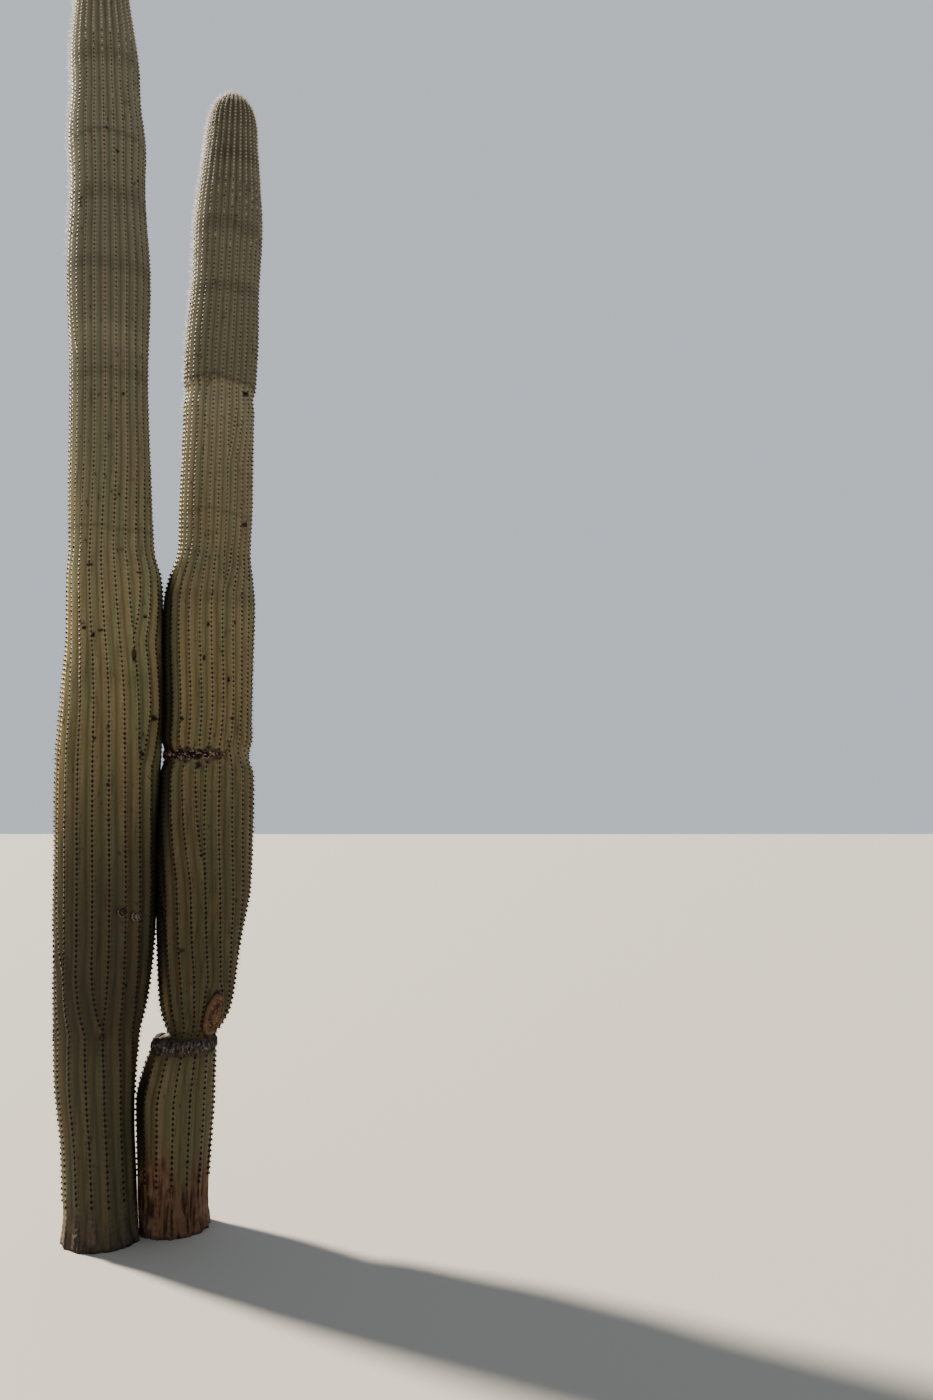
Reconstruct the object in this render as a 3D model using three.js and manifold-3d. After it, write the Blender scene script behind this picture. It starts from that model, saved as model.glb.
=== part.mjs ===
// Saguaro cactus: two tall ribbed columns that rise side by side from one root crown.
// Millimetres, +Z up. The origin is the centre of the main stem's flat foot, at ground level.
// +X runs to the right of the plant's best-known side, and +Y runs away from the viewer.
// Bearings are degrees round +Z from +X, so the viewer stands at about -75 degrees.
import * as THREE from 'three';
import { mergeVertices } from 'three/addons/utils/BufferGeometryUtils.js';
import Module from 'manifold-3d';

const wasm = await Module();
wasm.setup();

// Driving dimensions

const SEAT_GAP = 0.3; // clearance between two pieces that touch on the plant
const SOCKET_GAP = 0.4; // the same for a round callus, whose flat facets bring it nearer
const CUT_TOLERANCE = 0.05; // a cut surface may move this far where that closes up tiny edges
const RING_STEP = 200; // usual height between two rings of a stem
const FORK_OPENING = 300; // height in which the new valley above a fork grows to its full width
const RIB_TOP_SHARE = 0.18; // half the width of a rib's rounded top, as a share of rib to rib
const DOME_BLUNTNESS = 2.5; // 2 makes a stem's tip round like a ball, and more makes it blunter
const CROWN_WIDTH_SHARE = 0.84; // the woolly cap's width, as a share of the stem's under it
const CROWN_STEPS = [0.35, 0.65, 0.88]; // heights on the cap where its rounded profile turns

// The main stem, on the left. Each girth is [height, radius at the rib tops], each axis point is
// [height, x, y], and each pleat is [height, valley depth as a share of the width from rib to rib].
// Each fork is [height, bearing] of a rib that divides in two, and may add its own opening height.
const MAIN = {
  height: 5460,
  domeHeight: 210,
  crownHeight: 22,
  girth: [
    [0, 157], [130, 141], [340, 140], [600, 153], [780, 164], [910, 179], [1100, 193],
    [1320, 202], [1520, 202], [1900, 209], [2175, 204], [2350, 194], [2540, 192], [2640, 188], [2760, 170],
    [3050, 165], [3480, 157], [3950, 169], [4350, 152], [4560, 159], [4790, 141], [4900, 142],
    [5216, 113], [5460, 96],
  ],
  axis: [
    [0, 0, 0], [340, -26, 3], [650, -49, 6], [780, -46, 6], [910, -37, 7], [1100, -30, 9],
    [1320, -28, 10], [1520, -31, 8], [1650, -33, 7], [1900, -31, 5], [2175, -22, 3], [2350, -22, 2], [2540, -26, 0], [2640, -32, -1],
    [2760, -45, -3], [2950, -57, -4], [3400, -76, -6], [4000, -97, -4], [4550, -123, 2], [5460, -182, 14],
  ],
  pleats: [[0, 0.1], [300, 0.16], [900, 0.22], [1800, 0.25], [3000, 0.31], [4500, 0.4], [5460, 0.45]],
  pinches: [],
  ribs: 14,
  // [height, bearing] along the first rib, which twists a little as it climbs
  firstRib: [
    [0, -59], [580, -59], [850, -66], [1100, -67], [1320, -69], [1550, -70], [1900, -73], [2250, -80], [2420, -85],
    [2650, -88], [2900, -83], [3200, -78], [5460, -77],
  ],
  forks: [
    [620, 40], [690, 165], [750, -150], [810, -64], [900, 100], [1040, -120],
    [1600, 110], [1850, -35], [2370, -49], [3560, -125], [3930, 15],
  ],
};

// The second stem, on the right and a little behind, with a waist low down and a pinched ring.
const SECOND = {
  height: 4862,
  domeHeight: 222,
  crownHeight: 20,
  girth: [
    [0, 149], [130, 141], [340, 149], [500, 156], [640, 142], [700, 132], [742, 125], [770, 99],
    [792, 109], [850, 134], [900, 146], [1130, 169], [1280, 187], [1360, 194], [1500, 197],
    [1620, 198], [1760, 196], [1900, 190], [2050, 185], [2470, 192], [2560, 190], [2640, 178],
    [2800, 150], [2980, 153],
    [3300, 149], [3680, 154], [4000, 143], [4200, 146], [4541, 121], [4660, 110], [4862, 107],
  ],
  axis: [
    [0, 246, 124], [200, 242, 124], [500, 243, 122], [640, 259, 122], [700, 270, 122],
    [742, 277, 122], [770, 306, 123], [850, 317, 124], [1130, 325, 124], [1360, 337, 124],
    [1620, 338, 124], [1800, 341, 124], [2350, 333, 126], [2560, 336, 127], [2830, 353, 130], [3460, 358, 134], [4040, 376, 134], [4862, 395, 126],
  ],
  pleats: [
    [0, 0.1], [300, 0.16], [600, 0.2], [690, 0.12], [735, 0.03], [785, 0.04], [870, 0.2], [1300, 0.24],
    [1850, 0.25], [1890, 0.05], [1920, 0.05], [1965, 0.28], [3000, 0.32], [4300, 0.4], [4862, 0.45],
  ],
  // [height, depth, reach up and down] of each place where the stem is drawn in
  pinches: [[770, 4, 22], [1905, 17, 80], [3465, 9, 60]],
  ribs: 15,
  firstRib: [
    [0, -54], [640, -54], [960, -60], [1370, -74], [1780, -78], [2130, -70], [2560, -74], [4862, -72],
  ],
  forks: [
    [742, 45, 60], [752, 170, 60], [762, -150, 60], [1040, 0], [1130, 120], [1230, -125],
    [1385, -80, 900], [1890, 20, 60], [1895, -110, 60], [1900, 110, 60], [1905, -160, 60],
    [2585, -59], [3157, -58],
  ],
};

// Heights at which the joint between the stems is set. Where they would run into each other, both
// are pressed flat on it.
const JOINT_HEIGHTS = [
  0, 140, 300, 480, 650, 774, 960, 1150, 1340, 1520, 1680, 1825, 1985, 2170, 2350, 2550,
];

// The corky pieces that healed over old damage. A band's heights and radii are for its middle line.
const BARK_COLLAR = {
  z: 727, height: 50, inner: 101, outer: 131, from: 0, to: 360, ragged: 5, waves: [5, 9, 14], steps: 36,
};
const FROST_RING = {
  z: 1905, height: 34, inner: 152, outer: 182, from: -205, to: -44, ragged: 5, waves: [7, 12, 19], steps: 26,
};
const BAND_END_SHARE = 0.35; // how far a band thins towards its two ends
const BAND_SHOULDER_SHARE = 0.6; // how far out a band's shoulders lie, as a share of its thickness
const BAND_LIP_SHARE = 0.45; // half height of a band's outer face, as a share of its own half height
// half: half width, half depth into the stem and half height. proud: how far the middle stands out
// of the rib tops. tilt: degrees that the piece leans with the stem's own slope.
const WOUND = { z: 856, bearing: -43, half: [41, 22, 92], proud: -8, tilt: -20 };
const KNOBS = [
  { z: 1283, bearing: -54, half: [19, 13, 19], proud: -5, tilt: 4 },
  { z: 1262, bearing: -37, half: [20, 13, 19], proud: -5, tilt: 4 },
];

// Curves through stations

// The value at height z of the smooth curve through [height, value] stations, without overshoot.
function through(stations, z, column = 1) {
  const last = stations.length - 1;
  if (z <= stations[0][0]) return stations[0][column];
  if (z >= stations[last][0]) return stations[last][column];
  const slope = (i) => (stations[i + 1][column] - stations[i][column]) / (stations[i + 1][0] - stations[i][0]);
  const tangent = (i) => {
    if (i === 0) return slope(0);
    if (i === last) return slope(last - 1);
    const [before, after] = [slope(i - 1), slope(i)];
    return before * after <= 0 ? 0 : (2 * before * after) / (before + after);
  };
  let i = 0;
  while (z > stations[i + 1][0]) i += 1;
  const step = stations[i + 1][0] - stations[i][0];
  const t = (z - stations[i][0]) / step;
  const from = stations[i][column];
  const to = stations[i + 1][column];
  return from * (1 + 2 * t) * (1 - t) ** 2 + to * t * t * (3 - 2 * t)
    + step * (tangent(i) * t * (1 - t) ** 2 - tangent(i + 1) * t * t * (1 - t));
}

// A smooth hollow of depth 1 at its middle and 0 past its reach
function hollow(distance, reach) {
  const t = Math.min(1, Math.abs(distance) / reach);
  return (1 - t * t) ** 2;
}

// The stem's radius at its rib tops
function ribTopRadius(stem, z) {
  let radius = through(stem.girth, z);
  for (const [at, depth, reach] of stem.pinches) radius -= depth * hollow(z - at, reach);
  const intoDome = Math.max(0, (z - stem.height + stem.domeHeight) / stem.domeHeight);
  return radius * Math.sqrt(Math.max(0, 1 - intoDome ** DOME_BLUNTNESS));
}

function axisPoint(stem, z) {
  return new THREE.Vector3(through(stem.axis, z, 1), through(stem.axis, z, 2), z);
}

// Ribs. A stem is a ring of gaps, one from each rib to the next. A gap is one unit wide, and a gap
// that starts at a fork opens from nothing, so the ribs beside it lean away from each other.

function gapWidth(gap, z) {
  const t = Math.min(1, Math.max(0, (z - gap.from) / gap.opening));
  return 1 - (1 - t) ** 2;
}

// The bearing in radians of the rib at the near side of each gap
function ribBearings(stem, gaps, z) {
  const widths = gaps.map((gap) => gapWidth(gap, z));
  const whole = widths.reduce((sum, width) => sum + width, 0);
  let turn = THREE.MathUtils.degToRad(through(stem.firstRib, z));
  return widths.map((width) => {
    const bearing = turn;
    turn += (2 * Math.PI * width) / whole;
    return bearing;
  });
}

// Lists the gaps in order round the stem, with each new one just before the rib that forks. What
// comes before the first rib goes to the end of the list, so that the first rib stays first.
function layGaps(stem) {
  const gaps = Array.from({ length: stem.ribs }, () => ({ from: -FORK_OPENING, opening: FORK_OPENING }));
  for (const [z, degrees, opening = FORK_OPENING] of stem.forks) {
    const wanted = THREE.MathUtils.degToRad(degrees);
    const open = gaps.filter((gap) => gap.from < z);
    const misses = ribBearings(stem, open, z).map((bearing) => 1 - Math.cos(bearing - wanted));
    const parent = open[misses.indexOf(Math.min(...misses))];
    gaps.splice(gaps.indexOf(parent) || gaps.length, 0, { from: z, opening });
  }
  return gaps;
}

// One ring of the stem: rib top, valley, rib top for each gap that is open at this height
function stemRing(stem, gaps, z) {
  const open = gaps.filter((gap) => gap.from < z);
  const bearings = ribBearings(stem, open, z);
  const centre = axisPoint(stem, z);
  const radius = ribTopRadius(stem, z);
  const ring = [];
  open.forEach((gap, i) => {
    const start = bearings[i];
    const next = i + 1 < open.length ? bearings[i + 1] : bearings[0] + 2 * Math.PI;
    const depth = through(stem.pleats, z) * radius * (next - start);
    [[RIB_TOP_SHARE, 0], [0.5, depth], [1 - RIB_TOP_SHARE, 0]].forEach(([share, inward], place) => {
      const bearing = start + share * (next - start);
      const reach = radius - inward;
      const point = new THREE.Vector3(Math.cos(bearing) * reach, Math.sin(bearing) * reach, 0);
      ring.push({ gap, place, point: point.add(centre) });
    });
  });
  return ring;
}

// Rings stand close where the outline turns quickly, and far apart on the even stretches.
function ringHeights(stem, top) {
  const near = [60, top, ...JOINT_HEIGHTS];
  for (const [at, , reach] of stem.pinches) {
    for (const share of [-1, -0.5, 0, 0.5, 1]) near.push(at + share * reach);
  }
  for (const share of [0, 0.45, 0.75]) near.push(stem.height + (share - 1) * stem.domeHeight);
  const far = [];
  for (let z = RING_STEP; z < top; z += RING_STEP) {
    if (near.every((height) => Math.abs(height - z) > RING_STEP / 2)) far.push(z);
  }
  return [...new Set(near.concat(far))].sort((a, b) => a - b);
}

// Joins two rings. The upper one may have more gaps, and each new one is fanned from the two points
// of the lower ring that it opened between.
function joinRings(lower, upper, faces) {
  const same = (a, b) => a.gap === b.gap && a.place === b.place;
  let u = upper.findIndex((corner) => same(corner, lower[0]));
  lower.forEach((corner, i) => {
    const next = lower[(i + 1) % lower.length];
    const chain = [upper[u]];
    do {
      u = (u + 1) % upper.length;
      chain.push(upper[u]);
    } while (!same(upper[u], next));
    const middle = Math.floor((chain.length - 1) / 2);
    for (let k = 0; k + 1 < chain.length; k += 1) {
      if (k === middle) faces.push([corner.index, next.index, chain[k].index]);
      faces.push([(k < middle ? corner : next).index, chain[k + 1].index, chain[k].index]);
    }
  });
}

// The joint between the stems stands across the line from one axis to the other, taken at the height
// where they press on each other, and halfway between them. It runs straight from one of its heights
// to the next, where both stems have a ring, so neither stem crosses it.

const PRESSED_HEIGHT = 1700;
const towardsSecond = axisPoint(SECOND, PRESSED_HEIGHT).sub(axisPoint(MAIN, PRESSED_HEIGHT)).normalize();
const joint = JOINT_HEIGHTS.map((z) => {
  const mainEdge = axisPoint(MAIN, z).dot(towardsSecond) + ribTopRadius(MAIN, z);
  const secondEdge = axisPoint(SECOND, z).dot(towardsSecond) - ribTopRadius(SECOND, z);
  return [z, (mainEdge + secondEdge) / 2];
});

function jointReach(z) {
  const above = joint.findIndex(([height]) => height > z);
  if (above < 0) return joint[joint.length - 1][1];
  const [[low, from], [high, to]] = [joint[above - 1], joint[above]];
  return from + ((z - low) / (high - low)) * (to - from);
}

// Side is 1 for the stem before the joint, and -1 for the stem past it.
function pressFlat(point, side) {
  const past = side * (point.dot(towardsSecond) - jointReach(point.z)) + SEAT_GAP / 2;
  if (past > 0) point.addScaledVector(towardsSecond, -side * past);
}

function stemGeometry(stem, side) {
  const gaps = layGaps(stem);
  const top = stem.height - stem.crownHeight - SEAT_GAP;
  const rings = ringHeights(stem, top).map((z) => stemRing(stem, gaps, z));
  const points = [];
  for (const ring of rings) {
    for (const corner of ring) {
      pressFlat(corner.point, side);
      corner.index = points.push(corner.point) - 1;
    }
  }
  const faces = [];
  for (let i = 0; i + 1 < rings.length; i += 1) joinRings(rings[i], rings[i + 1], faces);
  const foot = points.push(axisPoint(stem, 0)) - 1;
  const cut = points.push(axisPoint(stem, top)) - 1;
  const lowest = rings[0];
  const highest = rings[rings.length - 1];
  lowest.forEach((corner, i) => faces.push([foot, lowest[(i + 1) % lowest.length].index, corner.index]));
  highest.forEach((corner, i) => faces.push([cut, corner.index, highest[(i + 1) % highest.length].index]));
  return faceted(points, faces);
}

function faceted(points, faces) {
  const geometry = new THREE.BufferGeometry();
  geometry.setAttribute('position', new THREE.Float32BufferAttribute(points.flatMap((p) => p.toArray()), 3));
  geometry.setIndex(faces.flat());
  return geometry;
}

// Corky bands. The same function makes the band and, grown by the clearance, the groove it lies in.

function raggedness(band, bearing) {
  const [low, middle, high] = band.waves;
  return Math.sin(low * bearing) * 0.5 + Math.sin(middle * bearing + 1) * 0.3 + Math.sin(high * bearing + 2) * 0.2;
}

function bandGeometry(stem, band, grow = 0) {
  const whole = band.to - band.from === 360;
  const centre = axisPoint(stem, band.z);
  const points = [];
  const sections = whole ? band.steps : band.steps + 1;
  for (let i = 0; i < sections; i += 1) {
    const along = i / band.steps;
    const pad = whole ? 0 : THREE.MathUtils.radToDeg(grow / band.inner) * (2 * along - 1);
    const bearing = THREE.MathUtils.degToRad(band.from + along * (band.to - band.from) + pad);
    const body = whole ? 1 : BAND_END_SHARE + (1 - BAND_END_SHARE) * Math.sqrt(Math.sin(Math.PI * along));
    const rough = raggedness(band, bearing) * band.ragged;
    const half = (band.height / 2 + rough) * body + grow;
    const thick = (band.outer - band.inner + rough * 0.6) * body;
    const inner = band.inner - grow;
    const shoulder = band.inner + thick * BAND_SHOULDER_SHARE + grow;
    const outer = band.inner + thick + grow;
    const lip = half * BAND_LIP_SHARE;
    const section = [
      [inner, -half], [shoulder, -half], [outer, -lip], [outer, lip], [shoulder, half], [inner, half],
    ];
    for (const [reach, rise] of section) {
      points.push(new THREE.Vector3(Math.cos(bearing) * reach, Math.sin(bearing) * reach, rise).add(centre));
    }
  }
  const sides = points.length / sections;
  const faces = [];
  for (let i = 0; i < (whole ? sections : sections - 1); i += 1) {
    for (let k = 0; k < sides; k += 1) {
      const a = i * sides + k;
      const b = i * sides + ((k + 1) % sides);
      const c = ((i + 1) % sections) * sides + k;
      const d = ((i + 1) % sections) * sides + ((k + 1) % sides);
      faces.push([a, c, d], [a, d, b]);
    }
  }
  if (!whole) {
    const end = (sections - 1) * sides;
    for (let k = 1; k + 1 < sides; k += 1) faces.push([0, k, k + 1], [end, end + k + 1, end + k]);
  }
  return faceted(points, faces);
}

// A domed callus that lies in its own socket in the stem
function callusGeometry(stem, callus, grow = 0) {
  const [width, depth, height] = callus.half.map((size) => size + grow);
  const bearing = THREE.MathUtils.degToRad(callus.bearing);
  const reach = ribTopRadius(stem, callus.z) + callus.proud;
  const geometry = new THREE.SphereGeometry(1, 16, 10);
  geometry.rotateX(Math.PI / 2);
  geometry.scale(depth, width, height);
  geometry.rotateY(THREE.MathUtils.degToRad(-callus.tilt));
  geometry.rotateZ(bearing);
  const centre = axisPoint(stem, callus.z);
  geometry.translate(centre.x + Math.cos(bearing) * reach, centre.y + Math.sin(bearing) * reach, centre.z);
  return geometry;
}

// The woolly cap of felt and young spines on a growing tip
function crownGeometry(stem) {
  const base = stem.height - stem.crownHeight;
  const width = CROWN_WIDTH_SHARE * ribTopRadius(stem, base);
  const profile = [new THREE.Vector2(0, 0), new THREE.Vector2(width, 0)];
  for (const share of CROWN_STEPS) {
    profile.push(new THREE.Vector2(width * Math.sqrt(1 - share ** 2), share * stem.crownHeight));
  }
  profile.push(new THREE.Vector2(0, stem.crownHeight));
  const geometry = new THREE.LatheGeometry(profile, 24);
  geometry.rotateX(Math.PI / 2);
  const seat = axisPoint(stem, base);
  geometry.translate(seat.x, seat.y, seat.z);
  return geometry;
}

// Cutting

function toSolid(source) {
  const bare = source.clone();
  for (const name of Object.keys(bare.attributes)) if (name !== 'position') bare.deleteAttribute(name);
  const geometry = mergeVertices(bare, 1e-3);
  const index = geometry.index.array;
  const corners = [];
  for (let i = 0; i < index.length; i += 3) {
    const [a, b, c] = [index[i], index[i + 1], index[i + 2]];
    if (a !== b && b !== c && c !== a) corners.push(a, b, c);
  }
  return new wasm.Manifold(new wasm.Mesh({
    numProp: 3,
    vertProperties: new Float32Array(geometry.attributes.position.array),
    triVerts: new Uint32Array(corners),
  }));
}

function toGeometry(solid) {
  const mesh = solid.getMesh();
  const geometry = new THREE.BufferGeometry();
  geometry.setAttribute('position', new THREE.BufferAttribute(new Float32Array(mesh.vertProperties), 3));
  geometry.setIndex(new THREE.BufferAttribute(new Uint32Array(mesh.triVerts), 1));
  return geometry;
}

function cutSockets(stem, sockets) {
  const cut = sockets.reduce((solid, socket) => solid.subtract(toSolid(socket)), toSolid(stem));
  return toGeometry(cut.simplify(CUT_TOLERANCE));
}

// Materials

const waxySkin = { color: 0x77765a, roughness: 0.62, metalness: 0 };
const paleWool = { color: 0xd8cba6, roughness: 0.95, metalness: 0 };
const greyCork = { color: 0x8a7d6c, roughness: 0.92, metalness: 0 };
const darkCork = { color: 0x4a3427, roughness: 0.95, metalness: 0 };
const amberCork = { color: 0x8a5c3c, roughness: 0.9, metalness: 0 };

// Assembly

const cactus = new THREE.Group();
cactus.name = 'saguaro_cactus';

function addPiece(name, geometry, finish) {
  geometry.computeVertexNormals();
  const mesh = new THREE.Mesh(geometry, new THREE.MeshStandardMaterial(finish));
  mesh.name = name;
  cactus.add(mesh);
}

addPiece('main_stem', cutSockets(
  stemGeometry(MAIN, 1),
  KNOBS.map((knob) => callusGeometry(MAIN, knob, SOCKET_GAP)),
), waxySkin);
addPiece('second_stem', cutSockets(stemGeometry(SECOND, -1), [
  bandGeometry(SECOND, BARK_COLLAR, SEAT_GAP),
  bandGeometry(SECOND, FROST_RING, SEAT_GAP),
  callusGeometry(SECOND, WOUND, SOCKET_GAP),
]), waxySkin);
addPiece('main_crown', toGeometry(toSolid(crownGeometry(MAIN))), paleWool);
addPiece('second_crown', toGeometry(toSolid(crownGeometry(SECOND))), paleWool);
addPiece('bark_collar', cutSockets(
  bandGeometry(SECOND, BARK_COLLAR),
  [callusGeometry(SECOND, WOUND, SOCKET_GAP)],
), greyCork);
addPiece('frost_ring', bandGeometry(SECOND, FROST_RING), darkCork);
addPiece('wound_callus', toGeometry(toSolid(callusGeometry(SECOND, WOUND))), amberCork);
KNOBS.forEach((knob, i) => {
  addPiece(`knob_callus_${i + 1}`, toGeometry(toSolid(callusGeometry(MAIN, knob))), greyCork);
});

export default cactus;
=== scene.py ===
# %% [markdown]
# # A saguaro cactus with two stems
# The real plant is a clump: two pleated, water-filled columns that rise side by side from one root.
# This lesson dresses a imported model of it. Each step first says what the plant has there, and then
# how it is made. Sizes are in millimetres, as they would be noted beside the plant, and the factor
# MM turns them into Blender's metres.

# %% Load the frame
import math

import bmesh
import bpy
import numpy as np
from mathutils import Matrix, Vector, noise


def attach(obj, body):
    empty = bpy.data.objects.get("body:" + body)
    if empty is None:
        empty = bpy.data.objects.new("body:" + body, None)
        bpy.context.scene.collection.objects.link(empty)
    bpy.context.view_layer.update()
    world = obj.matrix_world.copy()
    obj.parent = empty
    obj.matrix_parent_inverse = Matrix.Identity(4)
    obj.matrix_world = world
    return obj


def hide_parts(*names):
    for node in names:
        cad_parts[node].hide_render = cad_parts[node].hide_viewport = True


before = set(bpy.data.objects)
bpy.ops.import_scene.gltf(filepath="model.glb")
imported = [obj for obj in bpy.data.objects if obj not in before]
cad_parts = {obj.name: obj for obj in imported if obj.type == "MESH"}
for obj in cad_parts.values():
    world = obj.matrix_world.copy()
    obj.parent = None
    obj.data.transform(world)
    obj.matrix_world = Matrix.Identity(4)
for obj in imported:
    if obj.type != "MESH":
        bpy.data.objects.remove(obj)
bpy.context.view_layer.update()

MM = 0.001

# %% [markdown]
# ## The camera
# The picture was taken with a wide lens held at eye height and tipped up a little, so the tall stem
# runs out of the top of the frame. The horizon lies 105 pixels under the middle of a picture 1400
# pixels tall, and that gives the tip of the camera.

# %% Camera
PICTURE_HEIGHT = 1400
HORIZON_DROP = 105
LENS = 28
SENSOR = 36
EYE = Vector((1.436, -4.475, 1.70))

camera_data = bpy.data.cameras.new("camera")
camera_data.lens = LENS
camera_data.sensor_width = SENSOR
camera = bpy.data.objects.new("camera", camera_data)
bpy.context.scene.collection.objects.link(camera)
bpy.context.scene.camera = camera
tip_up = math.atan(HORIZON_DROP / (PICTURE_HEIGHT * LENS / SENSOR))
camera.location = EYE
camera.rotation_euler = (math.pi / 2 + tip_up, 0, 0)
print("camera tipped up by", round(math.degrees(tip_up), 2), "degrees")

# %% [markdown]
# ## The two stems, by their measurements
# A saguaro's column swells and narrows with the wet and dry years, leans, twists a little, and gains
# ribs as it grows, where one rib forks into two. So each stem is described by stations up its height,
# as [height, value], and by a list of forks, as [height, bearing, opening]. These are the same
# measurements as the solid model's, because the fine skin has to lie where the solid lies. Side is 1
# or -1 for the side of the joint between the stems.

# %% Measurements of the stems
MAIN = {
    "name": "main",
    "side": 1,
    "height": 5460,
    "dome": 210,
    "crown": 22,
    "girth": [
        [0, 157], [130, 141], [340, 140], [600, 153], [780, 164], [910, 179], [1100, 193],
        [1320, 202], [1520, 202], [1900, 209], [2175, 204], [2350, 194], [2540, 192], [2640, 188],
        [2760, 170], [3050, 165], [3480, 157], [3950, 169], [4350, 152], [4560, 159], [4790, 141],
        [4900, 142],
        [5216, 113], [5460, 96],
    ],
    "axis": [
        [0, 0, 0], [340, -26, 3], [650, -49, 6], [780, -46, 6], [910, -37, 7], [1100, -30, 9],
        [1320, -28, 10], [1520, -31, 8], [1650, -33, 7], [1900, -31, 5], [2175, -22, 3],
        [2350, -22, 2], [2540, -26, 0], [2640, -32, -1], [2760, -45, -3], [2950, -57, -4],
        [3400, -76, -6], [4000, -97, -4], [4550, -123, 2],
        [5460, -182, 14],
    ],
    "pleats": [[0, 0.1], [300, 0.16], [900, 0.22], [1800, 0.25], [3000, 0.31], [4500, 0.4], [5460, 0.45]],
    "pinches": [],
    "ribs": 14,
    "first_rib": [
        [0, -59], [580, -59], [850, -66], [1100, -67], [1320, -69], [1550, -70], [1900, -73],
        [2250, -80], [2420, -85], [2650, -88], [2900, -83], [3200, -78], [5460, -77],
    ],
    "forks": [
        [620, 40], [690, 165], [750, -150], [810, -64], [900, 100], [1040, -120],
        [1600, 110], [1850, -35], [2370, -49], [3560, -125], [3930, 15],
    ],
}

SECOND = {
    "name": "second",
    "side": -1,
    "height": 4862,
    "dome": 222,
    "crown": 20,
    "girth": [
        [0, 149], [130, 141], [340, 149], [500, 156], [640, 142], [700, 132], [742, 125], [770, 99],
        [792, 109], [850, 134], [900, 146], [1130, 169], [1280, 187], [1360, 194], [1500, 197],
        [1620, 198], [1760, 196], [1900, 190], [2050, 185], [2470, 192], [2560, 190], [2640, 178],
        [2800, 150], [2980, 153], [3300, 149], [3680, 154], [4000, 143], [4200, 146], [4541, 121],
        [4660, 110], [4862, 107],
    ],
    "axis": [
        [0, 246, 124], [200, 242, 124], [500, 243, 122], [640, 259, 122], [700, 270, 122],
        [742, 277, 122], [770, 306, 123], [850, 317, 124], [1130, 325, 124], [1360, 337, 124],
        [1620, 338, 124], [1800, 341, 124], [2350, 333, 126], [2560, 336, 127], [2830, 353, 130],
        [3460, 358, 134], [4040, 376, 134], [4862, 395, 126],
    ],
    "pleats": [
        [0, 0.1], [300, 0.16], [600, 0.2], [690, 0.12], [735, 0.03], [785, 0.04], [870, 0.2], [1300, 0.24],
        [1850, 0.25], [1890, 0.05], [1920, 0.05], [1965, 0.28], [3000, 0.32], [4300, 0.4], [4862, 0.45],
    ],
    "pinches": [[770, 4, 22], [1905, 17, 80], [3465, 9, 60]],
    "ribs": 15,
    "first_rib": [
        [0, -54], [640, -54], [960, -60], [1370, -74], [1780, -78], [2130, -70], [2560, -74], [4862, -72],
    ],
    "forks": [
        [742, 45, 60], [752, 170, 60], [762, -150, 60], [1040, 0], [1130, 120], [1230, -125],
        [1385, -80, 900], [1890, 20, 60], [1895, -110, 60], [1900, 110, 60], [1905, -160, 60],
        [2585, -59], [3157, -58],
    ],
}
STEMS = (MAIN, SECOND)
FORK_OPENING = 300
DOME_BLUNTNESS = 2.5
CROWN_GAP = 0.3

# %% [markdown]
# ## Curves through the stations
# A curve that overshoots between two stations would put bulges in a stem that has none. So the rule
# is a Hermite curve whose slope at each station is the harmonic mean of its neighbours' slopes, and
# level where the values turn. Numpy works it out for a whole list of heights at once.

# %% Curves
def through(stations, z, column=1):
    """The values at heights z of the smooth curve through the stations."""
    table = np.array(stations, float)
    heights = table[:, 0]
    values = table[:, column]
    slopes = np.diff(values) / np.diff(heights)
    before, after = slopes[:-1], slopes[1:]
    turns = before * after <= 0
    means = 2 * before * after / np.where(turns, 1, before + after)
    tangents = np.concatenate([slopes[:1], np.where(turns, 0, means), slopes[-1:]])
    z = np.clip(z, heights[0], heights[-1])
    i = np.clip(np.searchsorted(heights, z, side="right") - 1, 0, len(heights) - 2)
    step = np.diff(heights)[i]
    t = (z - heights[i]) / step
    ends = values[i] * (1 + 2 * t) * (1 - t) ** 2 + values[i + 1] * t * t * (3 - 2 * t)
    return ends + step * (tangents[i] * t * (1 - t) ** 2 - tangents[i + 1] * t * t * (1 - t))


def smooth(value, low, high):
    """0 below low, 1 above high, and an even S-shaped rise between them. High may be the lower."""
    t = np.clip((value - low) / (high - low), 0, 1)
    return t * t * (3 - 2 * t)


def ripple(turn, waves, start=0):
    """Start plus some waves round the stem, each as (size, how many go round, shift)."""
    return sum((size * np.sin(count * turn + shift) for size, count, shift in waves), start)


def way_out(bearing):
    """The level direction at each bearing."""
    return np.stack([np.cos(bearing), np.sin(bearing), np.zeros_like(bearing)], axis=-1)


def unit(ways):
    return ways / np.linalg.norm(ways, axis=1, keepdims=True)


def rib_top_radius(stem, z):
    radius = through(stem["girth"], z)
    for at, depth, reach in stem["pinches"]:
        radius = radius - depth * (1 - np.clip(np.abs(z - at) / reach, 0, 1) ** 2) ** 2
    into_dome = np.clip((z - stem["height"] + stem["dome"]) / stem["dome"], 0, 1)
    return radius * np.sqrt(1 - into_dome**DOME_BLUNTNESS)


def axis_point(stem, z):
    return np.stack([through(stem["axis"], z, 1), through(stem["axis"], z, 2), z + 0.0], axis=-1)


print("main stem at 1.9 m:", round(2 * float(rib_top_radius(MAIN, np.array(1900.0)))), "mm through")

# %% [markdown]
# ## Ribs that fork
# Round the stem, each rib is one place in a ring of gaps. A gap that starts at a fork has no width
# there and opens over the next hand's breadths, so the ribs on both sides lean away from each other
# just as they do on the plant. New gaps take room from all the others, as the stem's girth is fixed.

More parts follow.
